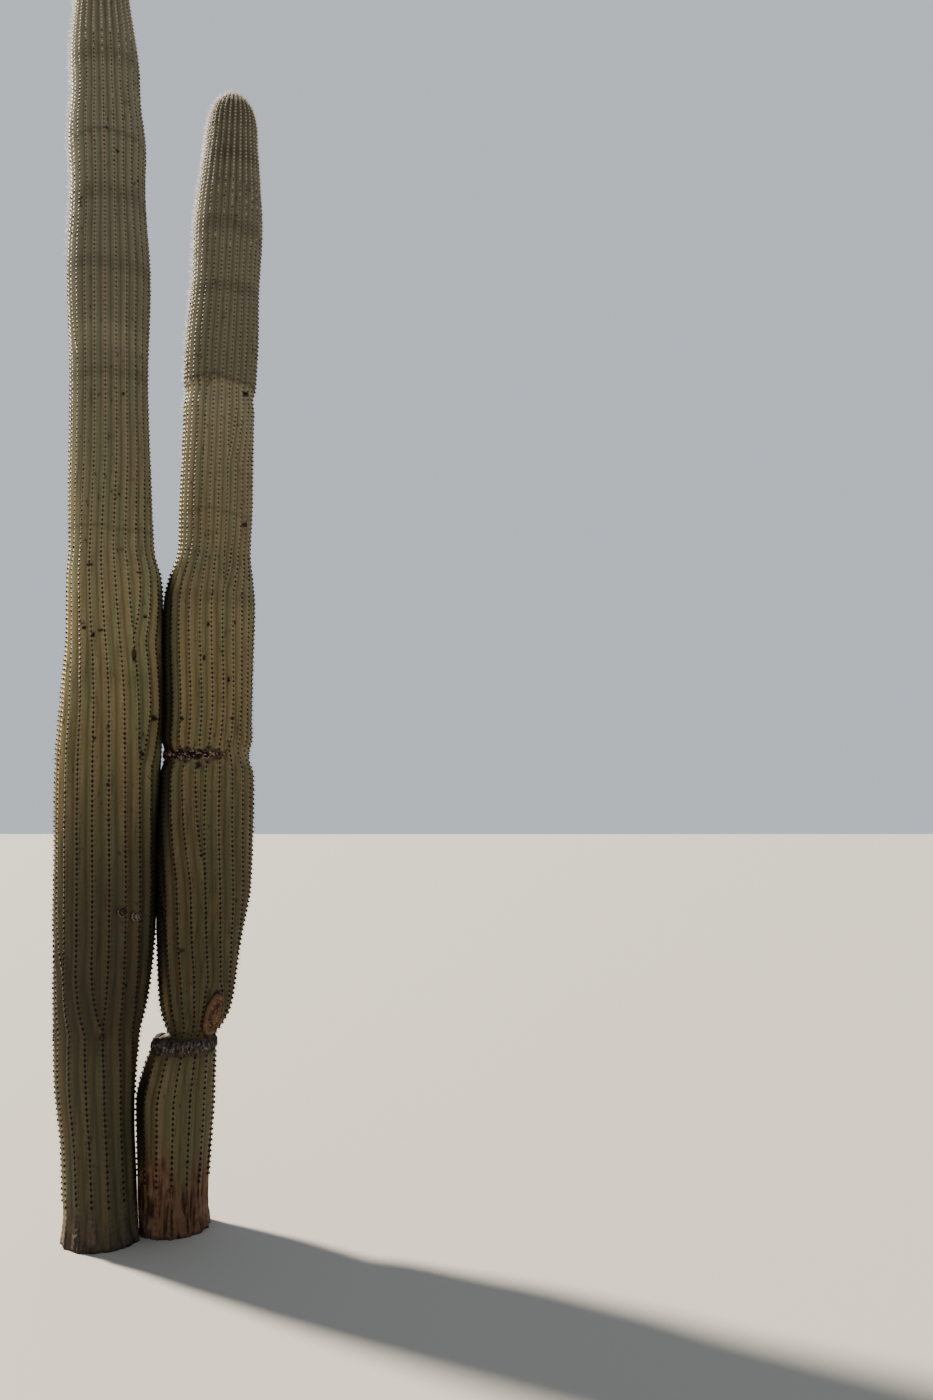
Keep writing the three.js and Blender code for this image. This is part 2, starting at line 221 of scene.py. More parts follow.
# %% Ribs
def gap_widths(gaps, z):
    """The width of each gap at each height, where an open gap is 1 wide: one row for each gap."""
    starts = np.array([start for start, opening in gaps])[:, None]
    openings = np.array([opening for start, opening in gaps])[:, None]
    t = np.clip((z[None, :] - starts) / openings, 0, 1)
    return 1 - (1 - t) ** 2


def rib_bearings(stem, gaps, z):
    """The bearing of the rib before each gap, and the angle from it to the next rib, in radians."""
    widths = gap_widths(gaps, z)
    angles = 2 * np.pi * widths / widths.sum(axis=0)
    first = np.radians(through(stem["first_rib"], z))
    return first + np.cumsum(angles, axis=0) - angles, angles


def lay_gaps(stem):
    """The gaps in order round the stem, with each fork put in before the rib nearest to it."""
    gaps = [(-FORK_OPENING, FORK_OPENING)] * stem["ribs"]
    for z, degrees, *opening in stem["forks"]:
        here = [i for i, (start, _) in enumerate(gaps) if start < z]
        bearings = rib_bearings(stem, [gaps[i] for i in here], np.array([float(z)]))[0][:, 0]
        parent = here[int(np.argmin(1 - np.cos(bearings - math.radians(degrees))))]
        gaps.insert(parent or len(gaps), (z, opening[0] if opening else FORK_OPENING))
    return gaps


for stem in STEMS:
    stem["gaps"] = lay_gaps(stem)
    print("ribs at the foot and at the tip:", stem["ribs"], len(stem["gaps"]))

# %% [markdown]
# ## Where the ribs part round the old wound
# The second stem healed round a wound just over its waist, and its ribs bend away to both sides of
# it like water round a stone. Every bearing near the wound is pushed outwards by the wound's own
# half width at that height, less and less towards the edge of its reach.

# %% Parting the ribs
WOUND = {"z": 856, "bearing": -43, "half": (41, 22, 92), "proud": -8, "tilt": -20}
WOUND_REACH = 0.85
WOUND_MARGIN = 1.35
WOUND_SHARPNESS = 0.06
WOUND_PUSH = 0.8


def turn_between(bearing, other):
    """The turn from other to bearing in radians, between minus and plus half a turn."""
    return (bearing - other + np.pi) % (2 * np.pi) - np.pi


def part_ribs(stem, bearing, z):
    if stem is not SECOND:
        return bearing
    half_width, _, half_height = WOUND["half"]
    rise = np.clip(np.abs(z - WOUND["z"]) / (half_height * WOUND_MARGIN), 0, 1)
    push = half_width / rib_top_radius(stem, z) * np.sqrt(1 - rise**2) * WOUND_PUSH
    turn = turn_between(bearing, math.radians(WOUND["bearing"]))
    fade = np.clip(1 - np.abs(turn) / WOUND_REACH, 0, 1) ** 2
    return bearing + np.tanh(turn / WOUND_SHARPNESS) * push * fade


print("the wound pushes the ribs aside over", round(math.degrees(2 * WOUND_REACH)), "degrees")

# %% [markdown]
# ## A sheet of skin round each stem
# The skin is a grid: rows up the stem, and eight columns from each rib to the next, closest together
# on the rounded crest. It is laid smooth at the height of the rib tops here. The pleats are pressed
# in later by a node tree, which reads how deep the valley is at each point. Where a gap hasn't
# opened yet, its columns share one point, so no face there is folded or doubled.

# %% Rows and columns
ROW_STEP = 14
FINE_STEP = 5
TIP_ZONE = 110
COLUMN_SHARES = np.array([0, 0.08, 0.2, 0.35, 0.5, 0.65, 0.8, 0.92])


def row_heights(stem):
    """Heights of the rows, closer together where the stem is drawn in and at its tip."""
    top = stem["height"] - stem["crown"] - CROWN_GAP
    heights = [0.0]
    while heights[-1] < top:
        z = heights[-1]
        pinched = any(abs(z - at) < reach for at, _, reach in stem["pinches"])
        heights.append(min(top, z + (FINE_STEP if pinched or z > top - TIP_ZONE else ROW_STEP)))
    return np.array(heights)


# %% [markdown]
# ## Where the stems press on each other
# The two stems stay close from the ground up to about head height and half as much again. Where
# they would run into each other, both are pressed flat on a joint that lies halfway between them,
# with a hair's breadth left open. The joint faces the way the stems lie apart in the middle of that
# stretch, and it moves sideways a little with height, as the stems sway.

# %% The joint between the stems
JOINT_HEIGHTS = [
    0, 140, 300, 480, 650, 774, 960, 1150, 1340, 1520, 1680, 1825, 1985, 2170, 2350, 2550,
]
PRESSED_HEIGHT = 1700.0
SEAT_GAP = 0.3

apart = axis_point(SECOND, np.array(PRESSED_HEIGHT)) - axis_point(MAIN, np.array(PRESSED_HEIGHT))
across = apart / np.linalg.norm(apart)
joint_z = np.array(JOINT_HEIGHTS, float)
main_edge = axis_point(MAIN, joint_z) @ across + rib_top_radius(MAIN, joint_z)
second_edge = axis_point(SECOND, joint_z) @ across - rib_top_radius(SECOND, joint_z)
joint_reaches = (main_edge + second_edge) / 2


def room_to_joint(stem, places):
    """How far each place lies inside the joint where the two stems press on each other."""
    reach = np.interp(places[..., 2], joint_z, joint_reaches)
    return stem["side"] * (reach - places @ across) - SEAT_GAP / 2


def press_flat(stem, places):
    past = np.clip(-room_to_joint(stem, places), 0, None)
    return places - stem["side"] * past[..., None] * across


print("the joint lies from", round(joint_reaches.min()), "to", round(joint_reaches.max()), "mm out")

# %% [markdown]
# ## Age, cork and old marks
# A saguaro's foot turns from green skin to brown, furrowed cork, and cork also grows over every
# injury. Each point of the skin gets a share of cork from 0 to 1, which both the relief and the
# colours read later. The same is done for a spotty darkening round each old mark.

# %% Cork of the foot and the scars
CORK_TOP = {"main": 250, "second": 430}
CORK_FADE = 330
COLLAR = {
    "z": 727, "height": 50, "inner": 101, "outer": 131, "from": 0, "to": 360, "ragged": 5,
    "waves": (5, 9, 14),
}
FROST_RING = {
    "z": 1905, "height": 38, "inner": 152, "outer": 182, "from": -205, "to": -44, "ragged": 6,
    "waves": (7, 12, 19),
}
FOOT_WAVES = ((55, 3, 1), (35, 7, 0), (20, 13, 2))
# Edges are pairs: where a share starts, and where it is full
COLLAR_CORK_EDGE = (0.8, 0.5)
WOUND_CORK_EDGE = (1.25, 1.0)
RING_CORK_SHARE = 0.45
BESIDE_RING_EDGE = (34, 16)
BESIDE_RING_ENDS = (0.02, -0.2)
BESIDE_RING_WAVES = ((9, 11, 0), (6, 26, 1))
RUST_EDGE = (640, 400)
SCAR_RUST = 0.12


def foot_cork(stem, z, bearing):
    """Cork of the foot, which climbs higher up some ribs than up others."""
    top = CORK_TOP[stem["name"]]
    return smooth(z - ripple(bearing, FOOT_WAVES), top, top - CORK_FADE)


def beside_ring(z, bearing):
    """1 on the skin close to the dark ring, with a ragged edge."""
    middle = math.radians((FROST_RING["from"] + FROST_RING["to"]) / 2)
    half_turn = math.radians((FROST_RING["to"] - FROST_RING["from"]) / 2)
    starts, full = BESIDE_RING_ENDS
    beside = smooth(np.abs(turn_between(bearing, middle)), half_turn + starts, half_turn + full)
    away = np.abs(z - FROST_RING["z"]) + ripple(bearing, BESIDE_RING_WAVES)
    return beside * smooth(away, *BESIDE_RING_EDGE)


def scar_cork(stem, z, bearing):
    """Cork that has grown round the waist, the ring and the wound of the second stem."""
    if stem is not SECOND:
        return np.zeros_like(z + bearing)
    waist = smooth(np.abs(z - COLLAR["z"]), *(COLLAR["height"] * share for share in COLLAR_CORK_EDGE))
    ring = RING_CORK_SHARE * beside_ring(z, bearing)
    half_width, _, half_height = WOUND["half"]
    sideways = turn_between(bearing, math.radians(WOUND["bearing"])) * rib_top_radius(stem, z)
    away = np.hypot(sideways / half_width, (z - WOUND["z"]) / half_height)
    return np.maximum(np.maximum(waist, ring), smooth(away, *WOUND_CORK_EDGE))


def rust_share(stem, z):
    """How rusty the cork is: fully so at the second foot, and a little at that stem's scars."""
    return np.maximum(smooth(z, *RUST_EDGE), SCAR_RUST) if stem is SECOND else np.zeros_like(z)


print("cork climbs to about", CORK_TOP, "mm")

# %% Old marks
# How dark the skin beside the ring is painted: partly scar stain and partly painted shade of the ring's
# groove
RING_STAIN_AND_SHADE = 1.3
MARK_EDGE = (2.1, 0.7)
# [height, bearing, half width, half height] of marks that scabbed over
MARKS = {
    "main": [
        [2300, -50, 7, 24], [2051, -18, 13, 10], [803, -66, 10, 13], [2639, -42, 11, 4],
        [2660, -104, 13, 3], [2393, -90, 11, 4], [995, -43, 6, 6], [4541, -73, 5, 4],
        [4448, -57, 9, 4], [4358, -18, 9, 6], [2405, -112, 6, 6], [2374, -98, 5, 8],
        [2460, -34, 6, 5], [1962, -89, 5, 5], [1780, -73, 5, 5], [1905, -36, 6, 11],
        [3390, -51, 4, 5], [2960, -60, 5, 4], [3110, 20, 9, 6], [2210, 95, 8, 18],
        [1450, 150, 11, 7], [3820, 170, 8, 5], [1150, 62, 8, 11],
    ],
    "second": [
        [1862, -87, 8, 12], [3464, -27, 17, 9], [2888, -21, 16, 8], [2054, -43, 9, 6],
        [1310, -29, 8, 6], [1121, -100, 9, 5], [2440, -77, 5, 8], [2455, -42, 5, 8],
        [2300, -81, 4, 10], [2215, -48, 4, 10], [2050, -110, 6, 6], [4319, -87, 5, 3],
        [3050, 60, 9, 6], [2250, 130, 10, 7], [1500, 85, 7, 12], [3900, 165, 6, 5],
    ],
}


def mark_shade(stem, z, bearing):
    """1 at the heart of an old mark or close to the dark ring, and 0 twice its size away."""
    # Beside the ring the darkening is partly scar stain and partly painted shade
    shade = RING_STAIN_AND_SHADE * beside_ring(z, bearing) if stem is SECOND else np.zeros_like(z + bearing)
    for at, degrees, half_width, half_height in MARKS[stem["name"]]:
        sideways = turn_between(bearing, math.radians(degrees)) * rib_top_radius(stem, z)
        away = np.hypot(sideways / half_width, (z - at) / half_height)
        shade = np.maximum(shade, smooth(away, *MARK_EDGE))
    return shade


print("old marks:", {name: len(marks) for name, marks in MARKS.items()})

# %% [markdown]
# ## How dark the skin is at each height
# The skin is much darker near the ground than at breast height and above, partly old, dusty skin
# and partly painted shade. Over that lie level bands, a few fingers wide, where the plant grew
# slowly or fast in one season. Where the stems almost touch, the skin is painted darkest of all, as
# painted shade from the other stem, and the side that meets most sun is painted paler, as painted
# sunlight. One number for each point of the skin holds all four.

# %% Tone of the skin
# [height, tone], where 1 is the plain skin colour
# Low tones are partly painted shade, and the second stem's dip at 760 mm is painted shadow under its waist
TONES = {
    "main": [[0, 0.24], [600, 0.24], [920, 0.16], [1320, 0.22], [1600, 0.35], [2130, 0.68], [2550, 0.8],
             [2980, 0.7], [3850, 0.62], [4760, 0.76], [5100, 0.66], [5460, 0.45]],
    "second": [[0, 0.4], [620, 0.42], [760, 0.2], [900, 0.26], [1300, 0.3], [1700, 0.43], [2200, 0.68],
               [2980, 0.72], [3400, 0.88], [3470, 0.88], [3515, 0.56], [4000, 0.64], [4500, 0.5],
               [4862, 0.3]],
}
# [height, half height, change of tone] of the level bands
BANDS = {
    "main": [[4530, 12, -0.24], [4260, 44, -0.12], [3950, 34, -0.12], [3640, 60, 0.12], [3480, 26, -0.12],
             [2825, 9, -0.2], [4900, 40, -0.14], [2200, 40, -0.08]],
    "second": [[4530, 34, -0.14], [4420, 9, -0.12], [4200, 40, -0.14], [3920, 30, -0.14], [3515, 9, -0.2],
               [2930, 9, -0.2], [2560, 30, -0.1], [4660, 20, 0.08]],
}
BAND_EDGE = (1.4, 0.3)
# Rooms in mm to the other stem, where its shade starts to tell and where it is full
SHADED_ROOMS = {"main": (40, 5), "second": (84, 28)}
SHADE_SHARE = 0.92
SUNNY_BEARING = math.radians(190)
SUNNY_EDGE = (0.6, 0.88)
# How much paler the side that meets most sun is painted, as painted sunlight
SUNLIT_PAINT_SHARE = 0.8
PLENTY_OF_ROOM = 1000.0


def sunny_side(bearing):
    """1 on the side that meets most sun, and 0 from about a seventh of a turn beside it."""
    return smooth(np.cos(bearing - SUNNY_BEARING), *SUNNY_EDGE)


def room_to_other(stem, places):
    """The room from each place to the rib tops of the other stem, and plenty above its tip."""
    other = SECOND if stem is MAIN else MAIN
    z = np.minimum(places[..., 2], other["height"] - 1.0)
    apart = places - axis_point(other, z)
    near = np.hypot(apart[..., 0], apart[..., 1]) - rib_top_radius(other, z)
    return np.where(places[..., 2] > other["height"], PLENTY_OF_ROOM, near)


def skin_tone(stem, z, bearing, places):
    tone = through(TONES[stem["name"]], z)
    for at, half_height, change in BANDS[stem["name"]]:
        wavy = ripple(bearing, ((7, 2, at), (4, 5, 0)), z)
        edge = [half_height * share for share in BAND_EDGE]
        tone = tone + change * smooth(np.abs(wavy - at), *edge)
    # Painted sunlight: the sunny side of the skin is painted paler
    tone = tone * (1 + SUNLIT_PAINT_SHARE * sunny_side(bearing))
    # Painted shade: the skin is painted darker where the other stem is close
    return tone * (1 - SHADE_SHARE * smooth(room_to_other(stem, places), *SHADED_ROOMS[stem["name"]]))


print("tone of the main skin at 1 m:", round(float(through(TONES["main"], np.array(1000.0))), 2))

# %% [markdown]
# ## Areoles up a rib
# Spines grow from areoles, felted cushions set along each rib's crest about a thumb's width apart,
# and closer near the growing tip. Counting them from the ground up gives each height a running
# number. An areole stands wherever that number passes a whole one, and neighbouring ribs are out of
# step, as on the plant.

# %% The running number of areoles
AREOLE_PITCH = [[0, 23], [900, 20], [2600, 19], [4600, 18.5], [5250, 17], [5460, 12]]
GOLDEN_SHARE = (math.sqrt(5) - 1) / 2
COUNT_STEP = 2.0
TIP_PITCH_FROM = 2600


def areole_count(stem, z):
    fine = np.arange(0, stem["height"] + COUNT_STEP, COUNT_STEP)
    from_tip = MAIN["height"] - stem["height"]
    pitch = through(AREOLE_PITCH, fine + from_tip * smooth(fine, TIP_PITCH_FROM, stem["height"]))
    return np.interp(z, fine, np.cumsum(COUNT_STEP / pitch))


def rib_offset(rib):
    return (rib * GOLDEN_SHARE) % 1


print("areoles up one main rib:", round(float(areole_count(MAIN, MAIN["height"]))))

# %% [markdown]
# ## Building the grid
# The points, their faces and the values that each point carries are worked out as whole arrays, and
# handed to Blender in one go. The skin also gets a UV map: the stem unrolled into two long strips
# side by side, so a texture made from it later wastes little of its picture.

# %% Points of the skin
RELIEF_ROOM = 12


def skin_points(stem):
    """One row of values for each point of the grid, as arrays of rows by columns."""
    z = row_heights(stem)
    starts, angles = rib_bearings(stem, stem["gaps"], z)
    bearing = starts.T[:, :, None] + COLUMN_SHARES * angles.T[:, :, None]
    share = np.broadcast_to(COLUMN_SHARES, bearing.shape)
    radius = rib_top_radius(stem, z)
    deep = (through(stem["pleats"], z) * radius * MM)[:, None, None] * angles.T[:, :, None]
    ribs = len(stem["gaps"])
    offsets = rib_offset(np.arange(ribs + 1) % ribs)
    offset = np.where(COLUMN_SHARES < 0.5, offsets[:-1, None], offsets[1:, None])
    count = areole_count(stem, z)[:, None, None] - offset
    rows = len(z)
    flat = {
        "bearing": bearing.reshape(rows, -1),
        "share": share.reshape(rows, -1),
        "room": np.broadcast_to(deep, bearing.shape).reshape(rows, -1),
        "count": count.reshape(rows, -1),
        "z": np.repeat(z[:, None], ribs * len(COLUMN_SHARES), axis=1),
        "open": np.repeat(angles.T > 0, len(COLUMN_SHARES), axis=1),
    }
    turned = part_ribs(stem, flat["bearing"], flat["z"])
    flat["outward"] = way_out(turned)
    places = axis_point(stem, flat["z"]) + radius[:, None, None] * flat["outward"]
    flat["relief"] = smooth(room_to_joint(stem, places), 0, RELIEF_ROOM)
    flat["place"] = press_flat(stem, places)
    flat["turned"] = turned
    return flat


def shared_points(points):
    """The number of each grid point, where the columns of a closed gap share the next rib's point."""
    rows, columns = points["open"].shape
    number = np.arange(rows * columns).reshape(rows, columns)
    per_gap = len(COLUMN_SHARES)
    for row in range(rows):
        following = number[row, 0]
        for gap in range(columns // per_gap - 1, -1, -1):
            first = gap * per_gap
            if points["open"][row, first]:
                following = number[row, first]
            else:
                number[row, first:first + per_gap] = following
    return number


# %% Faces of the skin
STRIPS = 2
STRIP_MARGIN = 0.01
CAP_CORNER = 0.02
FIRST_V = CAP_CORNER * 2


def skin_faces(points, number):
    """Each face as a list of (point number, u, v), with corners that fell together left out."""
    rows, columns = number.shape
    rows_per_strip = -(-(rows - 1) // STRIPS)
    faces = []
    round_stem = (points["bearing"] - points["bearing"][:, :1]) / (2 * np.pi)
    for row in range(rows - 1):
        strip, along = divmod(row, rows_per_strip)
        low, high = (
            FIRST_V + (1 - FIRST_V - STRIP_MARGIN) * step / rows_per_strip for step in (along, along + 1))
        for column in range(columns):
            after = (column + 1) % columns
            corners = []
            for up, c, wide in ((0, column, 0), (0, after, 1), (1, after, 1), (1, column, 0)):
                r = row + up
                share = 1.0 if wide and after == 0 else round_stem[r, c]
                u = (strip + STRIP_MARGIN + share * (1 - 2 * STRIP_MARGIN)) / STRIPS
                corner = (int(number[r, c]), u, high if up else low)
                if corner[0] not in [other[0] for other in corners]:
                    corners.append(corner)
            if len(corners) > 2:
                faces.append(corners)
    return faces


def cap_faces(ring, centre, turned):
    """A fan from a new centre point to a ring of points, with a small round patch of the UV map."""
    distinct = [n for i, n in enumerate(ring) if n != ring[i - 1]]
    faces = []
    for i, here in enumerate(distinct):
        after = distinct[(i + 1) % len(distinct)]
        corners = [(centre, 0.5, 0.5)]
        for place, point in ((i, here), (i + 1, after)):
            turn = 2 * math.pi * place / len(distinct)
            corners.append((point, 0.5 + 0.5 * math.cos(turn), 0.5 + 0.5 * math.sin(turn)))
        if turned:
            corners = [corners[0], corners[2], corners[1]]
        faces.append([(point, u * CAP_CORNER, v * CAP_CORNER) for point, u, v in corners])
    return faces


# %% A mesh from arrays
def mesh_from(name, places, faces, values=None, uvs=None):
    """A mesh with its places in millimetres, and each value as a named attribute of its points."""
    mesh = bpy.data.meshes.new(name)
    mesh.from_pydata((np.asarray(places) * MM).tolist(), [], faces)
    for label, data in (values or {}).items():
        data = np.asarray(data, np.float32)
        kind, key = ("FLOAT_VECTOR", "vector") if data.ndim > 1 else ("FLOAT", "value")
        mesh.attributes.new(label, kind, "POINT").data.foreach_set(key, data.ravel())
    if uvs is not None:
        mesh.uv_layers.new(name="OFBake").data.foreach_set("uv", np.asarray(uvs, np.float32).ravel())
    mesh.update()
    return mesh


def smooth_skin(stem):
    points = skin_points(stem)
    number = shared_points(points)
    faces = skin_faces(points, number)
    last = number.size
    faces += cap_faces(number[0], last, True)
    faces += cap_faces(number[-1], last + 1, False)
    used = sorted({corner[0] for face in faces for corner in face})
    renumber = {old: new for new, old in enumerate(used)}
    ends = axis_point(stem, points["z"][[0, -1], 0])
    places = np.concatenate([points["place"].reshape(-1, 3), ends])[used]

    def at_points(values, at_ends=0.0):
        flat = values.reshape(last, -1)
        padded = np.concatenate([flat, np.full((2, flat.shape[1]), at_ends)])[used]
        return padded[:, 0] if padded.shape[1] == 1 else padded

    z, turned = points["z"], points["turned"]
    cork = np.maximum(foot_cork(stem, z, turned), scar_cork(stem, z, turned))
    values = {name: at_points(points[name]) for name in ("share", "room", "count", "relief", "outward")}
    values["cork"] = at_points(cork, 1.0)
    values["mark"] = at_points(mark_shade(stem, z, turned))
    values["tone"] = at_points(skin_tone(stem, z, turned, points["place"]), 1.0)
    values["rust"] = at_points(rust_share(stem, z))
    corners = [[renumber[corner[0]] for corner in face] for face in faces]
    uvs = [corner[1:] for face in faces for corner in face]
    return mesh_from(stem["name"] + "_skin", places, corners, values, uvs)


skin_meshes = {}
for stem in STEMS:
    skin_meshes[stem["name"]] = smooth_skin(stem)
    print(stem["name"], "skin has", len(skin_meshes[stem["name"]].polygons), "faces")

# %% [markdown]
# ## Helpers for nodes
# Every node in this lesson, in a material or in a Geometry Nodes tree, is added by one small
# function. It takes the node's settings and its inputs, where an input is a plain value or the
# socket that feeds it, and gives back the socket that the next node wants. Another helper runs a
# finished tree on a mesh and keeps the result as a plain mesh, so no live modifier is left.

# %% Nodes
def feed(tree, node, inputs):
    """Sets a node's inputs by place or by name, or links them where the value is a socket."""
    for name, value in (inputs if isinstance(inputs, dict) else dict(enumerate(inputs))).items():
        if isinstance(value, bpy.types.NodeSocket):
            tree.links.new(value, node.inputs[name])
        else:
            node.inputs[name].default_value = value


def add(tree, kind, settings=None, inputs=(), out=0):
    """Adds a node with its settings and inputs, and returns one output."""
    node = tree.nodes.new(kind)
    for name, value in (settings or {}).items():
        setattr(node, name, value)
    feed(tree, node, inputs)
    return node.outputs[out] if node.outputs else node


MATH, MAP, NOISE, MIX = "ShaderNodeMath", "ShaderNodeMapRange", "ShaderNodeTexNoise", "ShaderNodeMix"
READ, VECTOR = "GeometryNodeInputNamedAttribute", "ShaderNodeVectorMath"
PLUS, MINUS, TIMES, OVER = ({"operation": name} for name in ("ADD", "SUBTRACT", "MULTIPLY", "DIVIDE"))
SIZE_OF, MOST = {"operation": "ABSOLUTE"}, {"operation": "MAXIMUM"}
COSINE, SINE = {"operation": "COSINE"}, {"operation": "SINE"}
STRETCH = {"operation": "SCALE"}
SOFT = {"interpolation_type": "SMOOTHSTEP"}
COLOURS, SHADED = {"data_type": "RGBA"}, {"data_type": "RGBA", "blend_type": "MULTIPLY"}
NUMBER, ARROW = {"data_type": "FLOAT"}, {"data_type": "FLOAT_VECTOR"}
MIXED = 2


# %% Trees and what they grow
def new_rule(name, inputs):
    """A Geometry Nodes tree with a geometry input and output and the named inputs."""
    tree = bpy.data.node_groups.new(name, "GeometryNodeTree")
    tree.interface.new_socket("Geometry", in_out="INPUT", socket_type="NodeSocketGeometry")
    for label, kind in inputs.items():
        tree.interface.new_socket(label, in_out="INPUT", socket_type="NodeSocket" + kind)
    tree.interface.new_socket("Geometry", in_out="OUTPUT", socket_type="NodeSocketGeometry")
    return tree, tree.nodes.new("NodeGroupInput").outputs


def finish_rule(tree, geometry, material):
    """Ends a tree with real faces, not instances, that wear the material."""
    real = add(tree, "GeometryNodeRealizeInstances", inputs={"Geometry": geometry})
    rounded = add(tree, "GeometryNodeSetShadeSmooth", inputs={"Geometry": real})
    worn = add(tree, "GeometryNodeSetMaterial", inputs={"Geometry": rounded, "Material": material})
    add(tree, "NodeGroupOutput", inputs={"Geometry": worn})
    print(tree.name, "tree has", len(tree.nodes), "nodes")
    return tree


def new_piece(name, mesh):
    piece = bpy.data.objects.new(name, mesh)
    bpy.context.scene.collection.objects.link(piece)
    return piece


def grow(name, mesh, tree, values):
    """Runs a tree on a mesh, and returns an object that holds the plain mesh it made."""
    piece = new_piece(name, mesh)
    modifier = piece.modifiers.new("rule", "NODES")
    modifier.node_group = tree
    for socket in tree.interface.items_tree:
        if socket.in_out == "INPUT" and socket.name in values:
            modifier[socket.identifier] = values[socket.name]
    graph = bpy.context.evaluated_depsgraph_get()
    grown = bpy.data.meshes.new_from_object(piece.evaluated_get(graph), depsgraph=graph)
    piece.modifiers.remove(modifier)
    piece.data = grown
    grown.name = name
    while grown.materials[0] is None:
        grown.materials.pop(index=0)
    grown.calc_loop_triangles()
    print(name, "has", len(grown.loop_triangles), "triangles")
    return piece


# %% Colours
def linear(code):
    """The linear colour of an sRGB hex code, as nodes want it."""
    shares = [int(code[i:i + 2], 16) / 255 for i in (1, 3, 5)]
    return [s / 12.92 if s <= 0.04045 else ((s + 0.055) / 1.055) ** 2.4 for s in shares] + [1.0]


def new_material(name):
    """An empty material with one Principled shader, and the two of them."""
    material = bpy.data.materials.new(name)
    material.use_nodes = True
    return material, material.node_tree, material.node_tree.nodes["Principled BSDF"]


def patterns_on(tree, place, table):
    """Noise patterns by name, each from [size in mm, how many times taller than wide, detail]."""
    found = {}
    for name, (size, taller, detail) in table.items():
        spread = add(tree, "ShaderNodeMapping", inputs={"Vector": place, "Scale": (1, 1, 1 / taller)})
        inputs = {"Vector": spread, "Scale": 1 / (size * MM), "Detail": detail}
        found[name] = add(tree, NOISE, inputs=inputs, out="Fac")
    return found


def layered(tree, colour, layers):
    """Lays colours over a first one. Each is [value, where it starts, where it is full, most, colour]."""
    for value, start, full, most, code in layers:
        share = add(tree, MAP, SOFT, (value, start, full, 0.0, most))
        colour = add(tree, MIX, COLOURS, {0: share, 6: colour, 7: linear(code)}, MIXED)
    return colour


print("a mid skin colour, linear:", [round(v, 3) for v in linear("#77765a")])

# %% [markdown]
# ## The skin's colours
# The real skin is a tough epidermis under a coat of wax. Olive green and tan lie side by side in
# long upright strips. The valleys are darker, partly dirt and partly painted shade. Beside the crests
# the ribs have a pale band of painted highlight, and the crest line itself is dark, partly stain from
# old felt and partly painted shadow of the spines. Streaks run down where rain has run. Small brown
# specks are old bites and bruises. Everything is mixed from patterns on Object coordinates and from
# values that the skin carries, so it is the same from any side.

# %% Waxy skin
SKIN_PATTERNS = {
    "blotch": (170, 1.5, 2), "strip": (38, 22, 2), "streak": (15, 16, 4), "speck": (16, 1.7, 2),
    "patch": (60, 1.6, 5), "grit": (3.5, 1, 3),
}
# Dust dulls the wax, so it throws back less of the sky than a clean surface would
DUSTY_GLOSS = 0.22
SKIN_ROUGHNESS = 0.6
CORK_ROUGHNESS = 0.92
# Heights of the relief in the bump, in mm, and how ragged the cork's edge is
BOSS_RISE = 2.0
STREAK_RISE = 3.0
GRIT_RISE = 0.8
FLAKE_RISE = 10.0
RAGGED_CORK = 1.3


